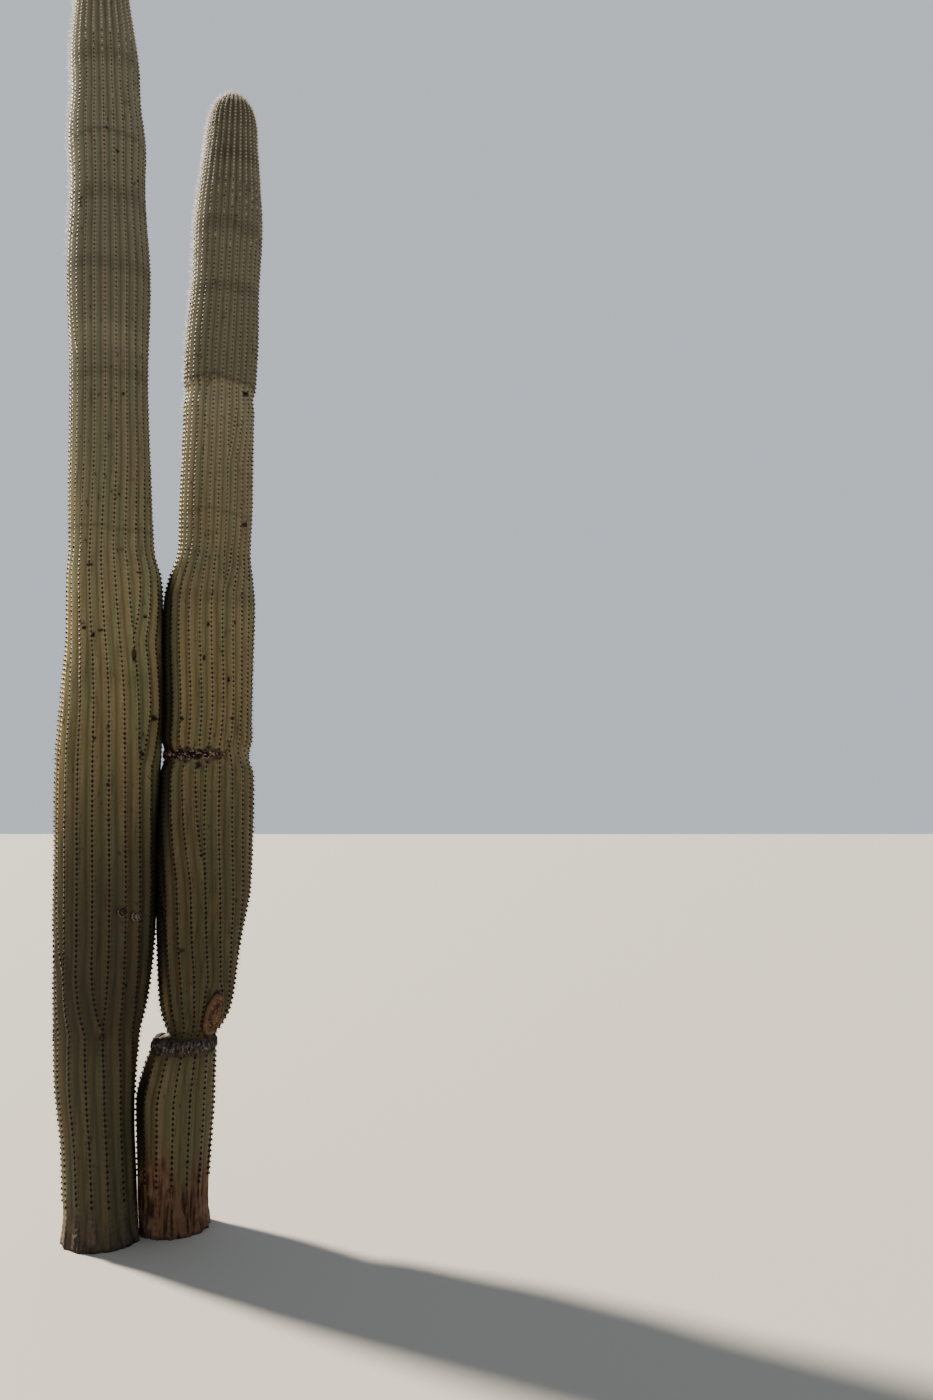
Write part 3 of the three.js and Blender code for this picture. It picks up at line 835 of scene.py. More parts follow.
def waxy_skin():
    material, tree, shader = new_material("waxed_epidermis")
    place = add(tree, "ShaderNodeTexCoord", out="Object")
    held = {}
    for name in ("valley", "cork", "mark", "tone", "rust", "count"):
        held[name] = add(tree, "ShaderNodeAttribute", {"attribute_name": name}, out="Fac")
    seen = patterns_on(tree, place, SKIN_PATTERNS)

    height = add(tree, "ShaderNodeSeparateXYZ", inputs=(place,), out=2)
    skin = layered(tree, linear("#84754e"), [
        (seen["strip"], 0.42, 0.62, 0.75, "#6a7048"),
        (seen["blotch"], 0.4, 0.7, 0.5, "#7e6a48"),
        (seen["streak"], 0.52, 0.72, 0.65, "#564930"),
        (seen["streak"], 0.48, 0.26, 0.4, "#a39474"),
        (height, 1.8, 4.4, 0.8, "#7b7a6a"),
        # Darker valleys: partly dirt and partly painted shade
        (held["valley"], 0.6, 1.0, 0.5, "#4b3f28"),
        # Painted highlight: a pale band beside each crest, where light grazes the rib
        (held["valley"], 0.2, 0.06, 0.35, "#ab9c7c"),
        # The dark crest line: partly felt stain and partly painted shadow of the spines
        (held["valley"], 0.05, 0.0, 0.4, "#45382a"),
    ])
    # The tone brings in partly painted shade low down, painted shade between the stems and painted
    # sunlight on the sunny side
    skin = add(tree, MIX, SHADED, {0: 1.0, 6: skin, 7: held["tone"]}, MIXED)
    dots = add(tree, MATH, TIMES, (
        add(tree, MAP, SOFT, (seen["speck"], 0.62, 0.72)),
        add(tree, MAP, SOFT, (seen["patch"], 0.43, 0.58))))
    near_mark = add(tree, MATH, PLUS, (held["mark"], add(tree, MATH, TIMES, (seen["speck"], 0.5))))
    skin = layered(tree, skin, [
        (seen["patch"], 0.6, 0.74, 0.35, "#3a2d1b"),
        (dots, 0, 1, 0.8, "#2a1f12"),
        (near_mark, 0.5, 1.1, 0.7, "#251a10"),
    ])

    grey_bark, rusty_bark = (
        layered(tree, linear(body), [
            (seen["streak"], 0.42, 0.62, 1, furrow), (seen["patch"], 0.5, 0.68, 0.6, plate)])
        for body, furrow, plate in (("#40352b", "#1c1610", "#5a4e41"), ("#644733", "#2b1b11", "#7c644d")))
    bark = add(tree, MIX, COLOURS, {0: held["rust"], 6: grey_bark, 7: rusty_bark}, MIXED)
    ragged = add(tree, MATH, TIMES, (add(tree, MATH, MINUS, (seen["patch"], 0.5)), RAGGED_CORK))
    corky = add(tree, MAP, SOFT, (add(tree, MATH, PLUS, (held["cork"], ragged)), 0.2, 0.9))
    colour = add(tree, MIX, COLOURS, {0: corky, 6: skin, 7: bark}, MIXED)
    rough = add(tree, MAP, {}, (corky, 0, 1, SKIN_ROUGHNESS, CORK_ROUGHNESS))

    swing = add(tree, MATH, COSINE, (add(tree, MATH, TIMES, (held["count"], 2 * math.pi)),))
    bosses = add(tree, MATH, TIMES, (swing, add(tree, MAP, SOFT, (held["valley"], 0.5, 0, 0, BOSS_RISE))))
    grain = add(tree, MATH, PLUS, (
        add(tree, MATH, TIMES, (seen["streak"], STREAK_RISE)),
        add(tree, MATH, TIMES, (seen["grit"], GRIT_RISE))))
    flakes = add(tree, MATH, TIMES, (add(tree, MATH, TIMES, (seen["patch"], corky)), FLAKE_RISE))
    raised = add(tree, MATH, PLUS, (add(tree, MATH, PLUS, (bosses, grain)), flakes))
    bump = add(tree, "ShaderNodeBump", inputs={"Height": raised, "Distance": MM, "Strength": 1.0})
    feed(tree, shader, {
        "Base Color": colour, "Roughness": rough, "Specular IOR Level": DUSTY_GLOSS, "Normal": bump})
    return material


skin_finish = waxy_skin()
print("skin material has", len(skin_finish.node_tree.nodes), "nodes")

# %% [markdown]
# ## Pressing in the pleats
# The pleats follow a rule: rounded at the crest and narrower at the bottom of the valley. One minus
# the size of a cosine is sharp there, as on a bellows, and a sine squared is wide and round. The real
# skin lies between, so the node tree blends the two and moves each point of the skin inwards by the
# result. It then adds the low waves of a living surface, and where there is cork it presses in long
# upright furrows.

# %% A node tree for the pleated skin
VALLEY_ROUNDNESS = 0.5
WAVE_TALLER = 3
CRACK_TALLER = 7
CRACK_SHARPNESS = 9.0


def pleating_rule():
    tree, given = new_rule("pleated skin", {
        "Valley Roundness": "Float", "Wave Height": "Float", "Wave Length": "Float",
        "Furrow Depth": "Float", "Furrow Width": "Float", "Finish": "Material",
    })
    held = {name: add(tree, READ, NUMBER, {"Name": name}, "Attribute")
            for name in ("share", "room", "cork", "relief")}
    outward = add(tree, READ, ARROW, {"Name": "outward"}, "Attribute")
    place = add(tree, "GeometryNodeInputPosition")
    uneven = {}
    for name, length, taller in (
            ("wave", given["Wave Length"], WAVE_TALLER), ("crack", given["Furrow Width"], CRACK_TALLER)):
        flat = add(tree, VECTOR, TIMES, (place, (1, 1, 1 / taller)))
        inputs = {"Vector": flat, "Scale": add(tree, MATH, OVER, (1.0, length)), "Detail": 3.0}
        uneven[name] = add(tree, MATH, MINUS, (add(tree, NOISE, inputs=inputs), 0.5))

    turn = add(tree, MATH, TIMES, (held["share"], math.pi))
    arch = add(tree, MATH, SIZE_OF, (add(tree, MATH, COSINE, (turn,)),))
    sharp = add(tree, MATH, MINUS, (1.0, arch))
    half_wave = add(tree, MATH, SINE, (turn,))
    wide = add(tree, MATH, TIMES, (half_wave, half_wave))
    valley = add(tree, MIX, NUMBER, {0: given["Valley Roundness"], 2: sharp, 3: wide})
    pleat = add(tree, MATH, TIMES, (valley, held["room"]))
    waves = add(tree, MATH, TIMES, (uneven["wave"], given["Wave Height"]))
    crack = add(tree, MATH, TIMES, (add(tree, MATH, SIZE_OF, (uneven["crack"],)), CRACK_SHARPNESS))
    furrow = add(tree, MATH, MOST, (0.0, add(tree, MATH, MINUS, (1.0, crack))))
    deep = add(tree, MATH, TIMES, (given["Furrow Depth"], held["cork"]))
    furrow = add(tree, MATH, TIMES, (furrow, deep))
    lively = add(tree, MATH, TIMES, (add(tree, MATH, MINUS, (waves, furrow)), held["relief"]))
    rise = add(tree, MATH, MINUS, (lively, pleat))
    offset = add(tree, VECTOR, STRETCH, {0: outward, "Scale": rise})
    kept = add(tree, "GeometryNodeStoreNamedAttribute", {"data_type": "FLOAT", "domain": "POINT"},
               {"Geometry": given["Geometry"], "Name": "valley", "Value": valley})
    moved = add(tree, "GeometryNodeSetPosition", inputs={"Geometry": kept, "Offset": offset})
    return finish_rule(tree, moved, given["Finish"])


pleating = pleating_rule()
skins = {}
for stem in STEMS:
    values = {
        "Valley Roundness": VALLEY_ROUNDNESS, "Wave Height": 4 * MM, "Wave Length": 90 * MM,
        "Furrow Depth": 7 * MM, "Furrow Width": 26 * MM, "Finish": skin_finish,
    }
    skins[stem["name"]] = grow(stem["name"] + "_skin", skin_meshes[stem["name"]], pleating, values)

# %% [markdown]
# ## Finding the areoles
# Each areole needs its place on the crest, the way straight out from the skin, and the way up the
# rib. The two ways come from small steps up the stem and round it. Near the other stem, the spines
# have less room and stay short, and where a fork has barely opened, its two rows are still one.

# %% Areoles of one stem
SLOPE_STEP = 4.0
FOOT_CLEAR = {"main": 150, "second": 190}
FORK_CLEAR = 12
SQUEEZE_ROOM = 26
LEAST_VIGOUR = 0.3
SKIP_ROOM = 9
# Areoles this near the other stem, above this height, are dealt the darkest age as painted shade
SLOT_SHADE_ROOM = 50
SLOT_SHADE_FROM = 900
BARE_CORK = 0.5


def crest_places(stem, rib, z):
    """Places on one rib's crest, and the room from that rib to the next."""
    starts, angles = rib_bearings(stem, stem["gaps"], z)
    bearing = part_ribs(stem, starts[rib], z)
    radius = rib_top_radius(stem, z)
    around = way_out(bearing)
    return axis_point(stem, z) + radius[:, None] * around, around, angles[rib] * radius, bearing


def areoles_on_rib(stem, rib):
    low = max(FOOT_CLEAR[stem["name"]], stem["gaps"][rib][0] + 1)
    top = stem["height"] - stem["crown"] - SLOPE_STEP
    fine = np.arange(low, top, COUNT_STEP)
    running = areole_count(stem, fine) - rib_offset(rib)
    z = np.interp(np.arange(math.ceil(running[0]), running[-1]), running, fine)
    place, around, room, bearing = crest_places(stem, rib, z)
    above = crest_places(stem, rib, z + SLOPE_STEP)[0]
    up = unit(above - place)
    out = unit(around - np.sum(around * up, axis=1, keepdims=True) * up)
    clear = room > FORK_CLEAR
    found = {"place": place, "out": out, "up": up, "z": z, "bearing": bearing}
    return {name: values[clear] for name, values in found.items()}


def areoles(stem):
    """All areoles of a stem, but for those on the cork of its scars and those with no room to stand."""
    ribs = [areoles_on_rib(stem, rib) for rib in range(len(stem["gaps"]))]
    found = {name: np.concatenate([rib[name] for rib in ribs]) for name in ribs[0]}
    room = room_to_other(stem, found["place"])
    kept = (room > SKIP_ROOM) & (scar_cork(stem, found["z"], found["bearing"]) <= BARE_CORK)
    found["vigour"] = np.clip(room / SQUEEZE_ROOM, LEAST_VIGOUR, 1)
    found["painted_slot_shade"] = (room < SLOT_SHADE_ROOM) & (found["z"] > SLOT_SHADE_FROM)
    return {name: values[kept] for name, values in found.items()}


found_areoles = {stem["name"]: areoles(stem) for stem in STEMS}
for name, found in found_areoles.items():
    print(name, "stem has", len(found["z"]), "areoles")

# %% [markdown]
# ## The crowns' first areoles
# At the very tip the ribs run together in a low felted cap, and the areoles are so close that they
# hide the skin. They are spread over the cap by the golden angle, as the plant itself sets them.

# %% Areoles on the crowns
GOLDEN_ANGLE = math.pi * (3 - math.sqrt(5))
CROWN_WIDTH_SHARE = 0.84
CROWN_AREOLES = 46
CROWN_LEAN = 0.9


def crown_places(stem, share, bearing):
    """Places on a crown's dome, from its middle at share 0 to its rim at share 1."""
    base = stem["height"] - stem["crown"]
    reach = CROWN_WIDTH_SHARE * float(rib_top_radius(stem, np.array(float(base)))) * share
    rise = stem["crown"] * np.sqrt(np.clip(1 - share**2, 0, 1))
    sides = np.broadcast_arrays(np.cos(bearing) * reach, np.sin(bearing) * reach, rise)
    return axis_point(stem, np.array(float(base))) + np.stack(sides, axis=-1)


def crown_areoles(stem):
    turn = np.arange(CROWN_AREOLES) * GOLDEN_ANGLE
    share = np.sqrt((np.arange(CROWN_AREOLES) + 0.5) / CROWN_AREOLES)
    lean = (share * CROWN_LEAN)[:, None]
    upright = np.array([0, 0, 1.0])
    out = way_out(turn) * np.sin(lean) + upright * np.cos(lean)
    up = upright * np.sin(lean) - way_out(turn) * np.cos(lean)
    place = crown_places(stem, share, turn)
    return {"place": place, "out": out, "up": up, "z": place[:, 2], "bearing": turn,
            "vigour": np.full(CROWN_AREOLES, 1.0), "painted_slot_shade": np.zeros(CROWN_AREOLES, bool)}


for stem in STEMS:
    found = found_areoles[stem["name"]]
    more = crown_areoles(stem)
    found_areoles[stem["name"]] = {name: np.concatenate([found[name], more[name]]) for name in found}
print("each crown has", CROWN_AREOLES, "areoles")

# %% [markdown]
# ## Which spines are young
# New spines at the tip are almost white. They turn straw-coloured, then tan, and at last a dark grey
# brown, and many have broken by the time they are near the ground. Each areole's spines are dealt to
# one of four ages by a seeded draw that leans on its height, so that each age keeps one plain colour
# and they still blend up the stem. The luck shrinks towards the tip, where all are young. Those on
# the sunniest side are dealt younger, paler ages as painted sunlight, and those in the slot between
# the stems are dealt the darkest age as painted shade.
# The felt of the cushions is dealt in the same way, with other heights and more luck. All heights
# are the main stem's: the second stem's are stretched to match them low down, and counted from its
# tip higher up.

# %% Ages of the areoles
AGES = ("weathered", "grown", "straw", "fresh")
SPINE_STARTS, SPINE_LUCK_HEIGHT = (2700, 4700, 5390), 500
FELT_STARTS, FELT_LUCK_HEIGHT = (2000, 3100, 5000), 900
# How far up the ages are pushed on the sunny side, as painted sunlight
SUNLIT_PAINT_HEIGHT = 1900
SUNLIT_PAINT_LUCK = (0.1, 0.85)
YOUNG_REACH = 1800
LEAST_LUCK = 0.08
STRETCHED_BELOW = 3000
age_draw = np.random.default_rng(11)


def deal_ages(stem, found, starts, luck):
    z = found["z"] + MAIN["height"] - stem["height"]
    z = np.where(found["z"] < STRETCHED_BELOW, found["z"] * MAIN["height"] / stem["height"], z)
    spread = np.clip((MAIN["height"] - z) / YOUNG_REACH, LEAST_LUCK, 1)
    lucky = z + spread * age_draw.triangular(-luck, 0, luck, len(z))
    # Painted sunlight: areoles on the sunny side are dealt younger, paler ages
    painted_sunlit = z + SUNLIT_PAINT_HEIGHT * sunny_side(found["bearing"]) * age_draw.uniform(*SUNLIT_PAINT_LUCK, len(z))
    lucky = np.maximum(lucky, painted_sunlit)
    # Painted shade: areoles in the slot between the stems are dealt the darkest age
    return np.where(found["painted_slot_shade"], 0, np.searchsorted(starts, lucky))


for stem in STEMS:
    found = found_areoles[stem["name"]]
    found["age"] = deal_ages(stem, found, SPINE_STARTS, SPINE_LUCK_HEIGHT)
    found["felt age"] = deal_ages(stem, found, FELT_STARTS, FELT_LUCK_HEIGHT)
    print(stem["name"], dict(zip(AGES, np.bincount(found["age"], minlength=len(AGES)).tolist())))

# %% [markdown]
# ## Spines as a node tree
# A real areole holds a ring of short spines pressed towards the skin and a few long ones that stand
# out and droop. The tree makes that many copies of each areole's point, turns each by the golden
# angle so that they spread evenly, tilts it by its kind, and sets a slim three-sided spine there.
# A spine is a little thicker than life, because a real one would vanish at this distance.

# %% A node tree for spines
# Each luck is drawn between two values: turn, tilt of a long and a short spine, length, thickness
SPINE_LUCK = ((0.0, 1.3), (0.2, 0.85), (1.0, 1.42), (0.65, 1.1), (0.8, 1.2))


def spine_rule():
    tree, given = new_rule("spines", {
        "Spines": "Int", "Long Spines": "Int", "Short Length": "Float", "Long Length": "Float",
        "Thickness": "Float", "Droop": "Float", "Seed": "Int", "Finish": "Material",
    })
    luck = []
    for step, (low, high) in enumerate(SPINE_LUCK):
        seed = add(tree, MATH, PLUS, (given["Seed"], step))
        luck.append(add(tree, "FunctionNodeRandomValue", NUMBER, {2: low, 3: high, "Seed": seed}, 1))
    more_turn, long_tilt, short_tilt, stretch, plump = luck

    points = add(tree, "GeometryNodeMeshToPoints", inputs={"Mesh": given["Geometry"]})
    copies = add(tree, "GeometryNodeDuplicateElements", {"domain": "POINT"},
                 {"Geometry": points, "Amount": given["Spines"]})
    which = copies.node.outputs["Duplicate Index"]
    long = add(tree, MATH, {"operation": "LESS_THAN"}, (which, given["Long Spines"]))
    short = add(tree, MATH, MINUS, (1.0, long))
    turn = add(tree, MATH, PLUS, (add(tree, MATH, TIMES, (which, GOLDEN_ANGLE)), more_turn))
    tilt = add(tree, MATH, PLUS, (
        add(tree, MATH, TIMES, (long, long_tilt)), add(tree, MATH, TIMES, (short, short_tilt))))
    length = add(tree, MATH, PLUS, (
        add(tree, MATH, TIMES, (long, given["Long Length"])),
        add(tree, MATH, TIMES, (short, given["Short Length"]))))
    vigour = add(tree, MATH, TIMES, (stretch, add(tree, READ, NUMBER, {"Name": "vigour"}, "Attribute")))
    length = add(tree, MATH, TIMES, (length, vigour))

    out, up = (add(tree, READ, ARROW, {"Name": name}, "Attribute") for name in ("out", "up"))
    side = add(tree, VECTOR, {"operation": "CROSS_PRODUCT"}, (up, out))
    across = add(tree, VECTOR, PLUS, (
        add(tree, VECTOR, STRETCH, {0: side, "Scale": add(tree, MATH, COSINE, (turn,))}),
        add(tree, VECTOR, STRETCH, {0: up, "Scale": add(tree, MATH, SINE, (turn,))})))
    aim = add(tree, VECTOR, PLUS, (
        add(tree, VECTOR, STRETCH, {0: out, "Scale": add(tree, MATH, COSINE, (tilt,))}),
        add(tree, VECTOR, STRETCH, {0: across, "Scale": add(tree, MATH, SINE, (tilt,))})))
    droop = add(tree, MATH, TIMES, (long, given["Droop"]))
    aim = add(tree, VECTOR, MINUS, (aim, add(tree, VECTOR, STRETCH, {0: up, "Scale": droop})))
    turned = add(tree, "FunctionNodeAlignRotationToVector", {"axis": "Z"}, {"Vector": aim})

    thick = add(tree, MATH, TIMES, (given["Thickness"], plump))
    size = add(tree, "ShaderNodeCombineXYZ", inputs=(thick, thick, length))
    spine = add(tree, "GeometryNodeMeshCone", {"fill_type": "NGON"},
                {"Vertices": 3, "Radius Top": 0.0, "Radius Bottom": 0.5, "Depth": 1.0}, "Mesh")
    set_out = add(tree, "GeometryNodeInstanceOnPoints", inputs={
        "Points": copies, "Instance": spine, "Rotation": turned, "Scale": size})
    return finish_rule(tree, set_out, given["Finish"])


spines = spine_rule()

# %% [markdown]
# ## Cushions and flakes as a node tree
# A cushion is a low, blunt dome of felt. It lies along the rib, a little longer than wide, with its
# foot in the skin, so the tree turns it by two directions. A flake of dry cork is the same shape laid
# flatter, so one tree makes both, and the points that it is given hold the two directions.

# %% A node tree for cushions and flakes
BLUNT_TOP = 0.28


def cushion_rule():
    tree, given = new_rule("cushions", {
        "Size": "Vector", "Least": "Float", "Most": "Float", "Corners": "Int", "Seed": "Int",
        "Finish": "Material",
    })
    points = add(tree, "GeometryNodeMeshToPoints", inputs={"Mesh": given["Geometry"]})
    out, up = (add(tree, READ, ARROW, {"Name": name}, "Attribute") for name in ("out", "up"))
    turned = add(tree, "FunctionNodeAxesToRotation",
                 {"primary_axis": "Z", "secondary_axis": "Y"}, (out, up))
    luck = add(tree, "FunctionNodeRandomValue", NUMBER,
               {2: given["Least"], 3: given["Most"], "Seed": given["Seed"]}, 1)
    size = add(tree, VECTOR, STRETCH, {0: given["Size"], "Scale": luck})
    dome = add(tree, "GeometryNodeMeshCone", {"fill_type": "NGON"}, {
        "Vertices": given["Corners"], "Radius Top": BLUNT_TOP, "Radius Bottom": 0.5, "Depth": 1.0,
    }, "Mesh")
    set_out = add(tree, "GeometryNodeInstanceOnPoints", inputs={
        "Points": points, "Instance": dome, "Rotation": turned, "Scale": size})
    return finish_rule(tree, set_out, given["Finish"])


cushions = cushion_rule()

# %% [markdown]
# ## Finishes of spines and felt
# A spine is dead, hardened plant fibre, smooth and faintly glossy when young and chalky when old.
# Felt is a mat of fine hairs. While it is fresh they catch light at a grazing angle, so it gets some
# sheen, and later they are clogged with dust. Each age keeps one plain colour, as a pattern would be
# lost on anything so thin.

# %% Spine and felt finishes
def plain_finish(name, colour, roughness, sheen=0.0):
    material, tree, shader = new_material(name)
    feed(tree, shader, {
        "Base Color": linear(colour), "Roughness": roughness, "Specular IOR Level": DUSTY_GLOSS,
        "Sheen Weight": sheen})
    return material


spine_finish = {
    "weathered": plain_finish("weathered_spine_fibre", "#382c22", 0.8),
    "grown": plain_finish("grown_spine_fibre", "#6a6154", 0.65),
    "straw": plain_finish("straw_spine_fibre", "#b09a7b", 0.55),
    "fresh": plain_finish("fresh_white_spine_fibre", "#f4ecdd", 0.5),
}
felt_finish = {
    "weathered": plain_finish("blackened_felt", "#150d08", 0.95),
    "grown": plain_finish("dark_brown_felt", "#20160e", 0.95),
    "straw": plain_finish("brown_felt", "#392d20", 0.95),
    "fresh": plain_finish("fresh_grey_felt", "#978c79", 0.95, 0.2),
}
print("finishes:", [m.name for m in (*spine_finish.values(), *felt_finish.values())])

# %% Growing the spines and cushions
SINK = 1.5
SPINE_INPUTS = ("Spines", "Long Spines", "Short Length", "Long Length", "Thickness")
SPINE_SIZES = {
    "weathered": (10, 3, 11 * MM, 20 * MM, 1.8 * MM),
    "grown": (7, 1, 8 * MM, 16 * MM, 1.1 * MM),
    "straw": (10, 2, 6.5 * MM, 18 * MM, 1.2 * MM),
    "fresh": (14, 4, 7 * MM, 26 * MM, 1.7 * MM),
}
SPINE_DROOP = 0.3
SPINE_SEED = 40
CUSHION_SIZE = {"weathered": (11, 13, 6), "grown": (9, 11, 5), "straw": (8, 9, 5), "fresh": (8, 6, 5)}


def grow_on(name, found, chosen, labels, tree, values):
    """Grows a tree's pieces on the chosen points, sunk a little in what carries them."""
    place = found["place"][chosen] - SINK * found["out"][chosen]
    bare = mesh_from(name + "_points", place, [], {label: found[label][chosen] for label in labels})
    return grow(name, bare, tree, values)


spiny_pieces = []
for stem in STEMS:
    found = found_areoles[stem["name"]]
    for number, age in enumerate(AGES):
        name = f"{stem['name']}_{age}"
        sizes = zip(SPINE_INPUTS, SPINE_SIZES[age])
        values = dict(sizes, Droop=SPINE_DROOP, Seed=SPINE_SEED + number, Finish=spine_finish[age])
        spiny_pieces.append(grow_on(
            name + "_spines", found, found["age"] == number, ("out", "up", "vigour"), spines, values))
        values = {"Size": [side * MM for side in CUSHION_SIZE[age]], "Least": 0.85, "Most": 1.15,
                  "Corners": 6, "Seed": 7, "Finish": felt_finish[age]}
        spiny_pieces.append(grow_on(
            name + "_felt", found, found["felt age"] == number, ("out", "up"), cushions, values))

# %% [markdown]
# ## Corky pieces
# Cork that heals a wound is built up in ridges and scales, and no two of its edges are alike. Each
# such piece starts as rows of points on the solid's own rule. Noise then pushes them in and out, and
# the same noise is kept as a value, so that the hollows get painted shade and the ridges are paler.
# Each piece is closed, with its hidden side in the stem.

# %% Closed pieces from rows of places
# How fast the finer layers of the noise fade, how much finer each is, and how many there are
NOISE_LAYERS = (1.0, 2.0, 4)


def lumps(places, size):
    """Soft noise between about -1 and 1, with lumps of that size in millimetres."""
    flat = (np.asarray(places, float) / size).reshape(-1, 3)
    found = [noise.fractal(Vector(place), *NOISE_LAYERS) for place in flat]
    return np.array(found).reshape(places.shape[:-1])


def closed_piece(name, rows, finish, rise, capped=True):
    """A piece from rings of places. The end rings are capped, or the last one joins the first."""
    count, columns = rows.shape[:2]
    number = np.arange(count * columns).reshape(count, columns)
    faces = []
    for row in range(count - 1 if capped else count):
        here, above = number[row], number[(row + 1) % count]
        faces += np.stack([here, np.roll(here, -1), np.roll(above, -1), above], axis=1).tolist()
    if capped:
        faces += [number[0][::-1].tolist(), number[-1].tolist()]
    mesh = mesh_from(name, rows.reshape(-1, 3), faces, {"rise": rise.ravel()})
    shape = bmesh.new()
    shape.from_mesh(mesh)
    bmesh.ops.recalc_face_normals(shape, faces=shape.faces)
    shape.to_mesh(mesh)
    shape.free()
    mesh.shade_smooth()
    mesh.materials.append(finish)
    return new_piece(name, mesh)


# %% Cork
CORK_PATTERNS = {"scale": (9, 2.2, 4), "grain": (2.5, 3, 3), "patch": (30, 1, 3)}
# Each as (hollow and painted shade, body, ridge, fleck)
CORK_COLOURS = {
    "weathered_grey_cork": ("#100c0b", "#352d2a", "#5a504b", "#85796f"),
    "scabbed_dark_cork": ("#070303", "#160b08", "#2c1914", "#6e564e"),
    "amber_wound_cork": ("#2a1c12", "#4c3728", "#5d4836", "#7a6450"),
    "brown_scab_cork": ("#120c07", "#2c2115", "#473724", "#5f4d36"),
    "pale_callus_cork": ("#16100d", "#4a3f38", "#75695f", "#958a80"),
}
DRY_ROUGHNESS = 0.93


def ridged_finish(name, hollow_and_shade, body, ridge, fleck):
    """Dry, ridged stuff: hollows darkened as painted shade, body and ridges by the piece's own relief,
    with pale flecks.
    """
    material, tree, shader = new_material(name)
    place = add(tree, "ShaderNodeTexCoord", out="Object")
    rise = add(tree, "ShaderNodeAttribute", {"attribute_name": "rise"}, out="Fac")
    seen = patterns_on(tree, place, CORK_PATTERNS)
    colour = layered(tree, linear(body), [
        (seen["patch"], 0.4, 0.65, 0.5, ridge),
        (seen["scale"], 0.5, 0.34, 0.8, hollow_and_shade),
        # Painted shade: the hollows of the piece's own relief are darker
        (rise, 0.1, -0.35, 0.9, hollow_and_shade),
        (rise, 0.15, 0.5, 0.6, ridge),
        (seen["scale"], 0.62, 0.7, 0.7, fleck),
    ])
    height = add(tree, MATH, PLUS, (add(tree, MATH, TIMES, (seen["scale"], STREAK_RISE)), seen["grain"]))
    bump = add(tree, "ShaderNodeBump", inputs={"Height": height, "Distance": MM, "Strength": 1.0})
    feed(tree, shader, {
        "Base Color": colour, "Roughness": DRY_ROUGHNESS, "Specular IOR Level": DUSTY_GLOSS,
        "Normal": bump})
    return material


corks = {name: ridged_finish(name, *colours) for name, colours in CORK_COLOURS.items()}
print("cork finishes:", len(corks))

# %% [markdown]
# ## The collar and the dead ring
# The collar is the dry rim of the stem's lower part, folded into short upright ridges under the
# waist. The ring is a row of torn scales where a hard frost once stopped the growth. Both are bands
# of the solid, so they are made from the same measures, with far more points.

# %% Bands
BAND_END_SHARE = 0.35
BAND_WAVE_SIZES = (0.5, 0.3, 0.2)
BAND_WAVE_SHIFTS = (0, 1, 2)
THICKNESS_SHARE = 0.6
RIDGE_UPRIGHT = 0.3
TOOTH_SIZE = 9.0
TOOTH_APART = 20
SECTION_STEPS = (0, 1, 2, 3, 4, 5, 6)
SECTION_REACH = (0, 0.6, 1, 1, 0.6, 0, 0)
SECTION_RISE = (-1, -1, -0.45, 0.45, 1, 1, -1)


def band_rows(band, stations, around, ridge_size, ridge_depth, torn):
    """Rows of places for a band, one ring for each station along it, and how far each was pushed out."""
    whole = band["to"] - band["from"] == 360
    along = (np.arange(stations) / (stations if whole else stations - 1))[:, None]
    bearing = np.radians(band["from"] + along * (band["to"] - band["from"]))
    body = 1.0
    if not whole:
        body = BAND_END_SHARE + (1 - BAND_END_SHARE) * np.sqrt(np.clip(np.sin(np.pi * along), 0, 1))
    rough = ripple(bearing, zip(BAND_WAVE_SIZES, band["waves"], BAND_WAVE_SHIFTS))
    half = (band["height"] / 2 + band["ragged"] * rough) * body
    thick = (band["outer"] - band["inner"] + THICKNESS_SHARE * band["ragged"] * rough) * body
    step = np.arange(around)[None, :] * SECTION_STEPS[-1] / around
    outward = np.interp(step, SECTION_STEPS, SECTION_REACH)
    upward = np.interp(step, SECTION_STEPS, SECTION_RISE)
    arc = bearing * band["outer"]
    flat = np.broadcast_arrays(arc, half * upward * RIDGE_UPRIGHT, 0 * arc)
    ridges = lumps(np.stack(flat, axis=-1), ridge_size)
    edges = np.broadcast_arrays(arc, TOOTH_SIZE + 0 * arc, TOOTH_APART * np.sign(upward))
    teeth = lumps(np.stack(edges, axis=-1), TOOTH_SIZE)
    reach = band["inner"] + thick * outward + ridge_depth * ridges * outward
    rise = half * upward * (1 + torn * teeth)
    centre = axis_point(SECOND, np.array(float(band["z"])))
    places = np.stack([np.cos(bearing) * reach, np.sin(bearing) * reach, rise], axis=-1) + centre
    return places, np.broadcast_to(ridges, reach.shape)


collar_rows, collar_rise = band_rows(
    COLLAR, stations=300, around=24, ridge_size=9, ridge_depth=5, torn=0.2)
collar = closed_piece(
    "collar_cork", collar_rows, corks["weathered_grey_cork"], collar_rise, capped=False)
ring_rows, ring_rise = band_rows(
    FROST_RING, stations=220, around=24, ridge_size=11, ridge_depth=7, torn=0.9)
ring = closed_piece("frost_ring_scales", ring_rows, corks["scabbed_dark_cork"], ring_rise)

# %% [markdown]
# ## The wound and the two knobs
# A wound that healed is a low shield of scales inside a rolled rim. It is laid on the solid's own
# egg shape: rings of points from the middle outwards, and the last ones run under the skin.

# %% Shields of healed cork
SHIELD_WRAP = 0.8
RIM_LEAN, RIM_WIDTH = 1.25, 0.22
GROOVE_LEAN, GROOVE_WIDTH = 0.85, 0.2
RIDGE_SWELL = 0.05
KNOBS = (
    {"z": 1283, "bearing": -54, "half": (19, 13, 19), "proud": -5, "tilt": 4, "paleness": -0.3},
    {"z": 1262, "bearing": -37, "half": (20, 13, 19), "proud": -5, "tilt": 4, "paleness": 0.3},
)


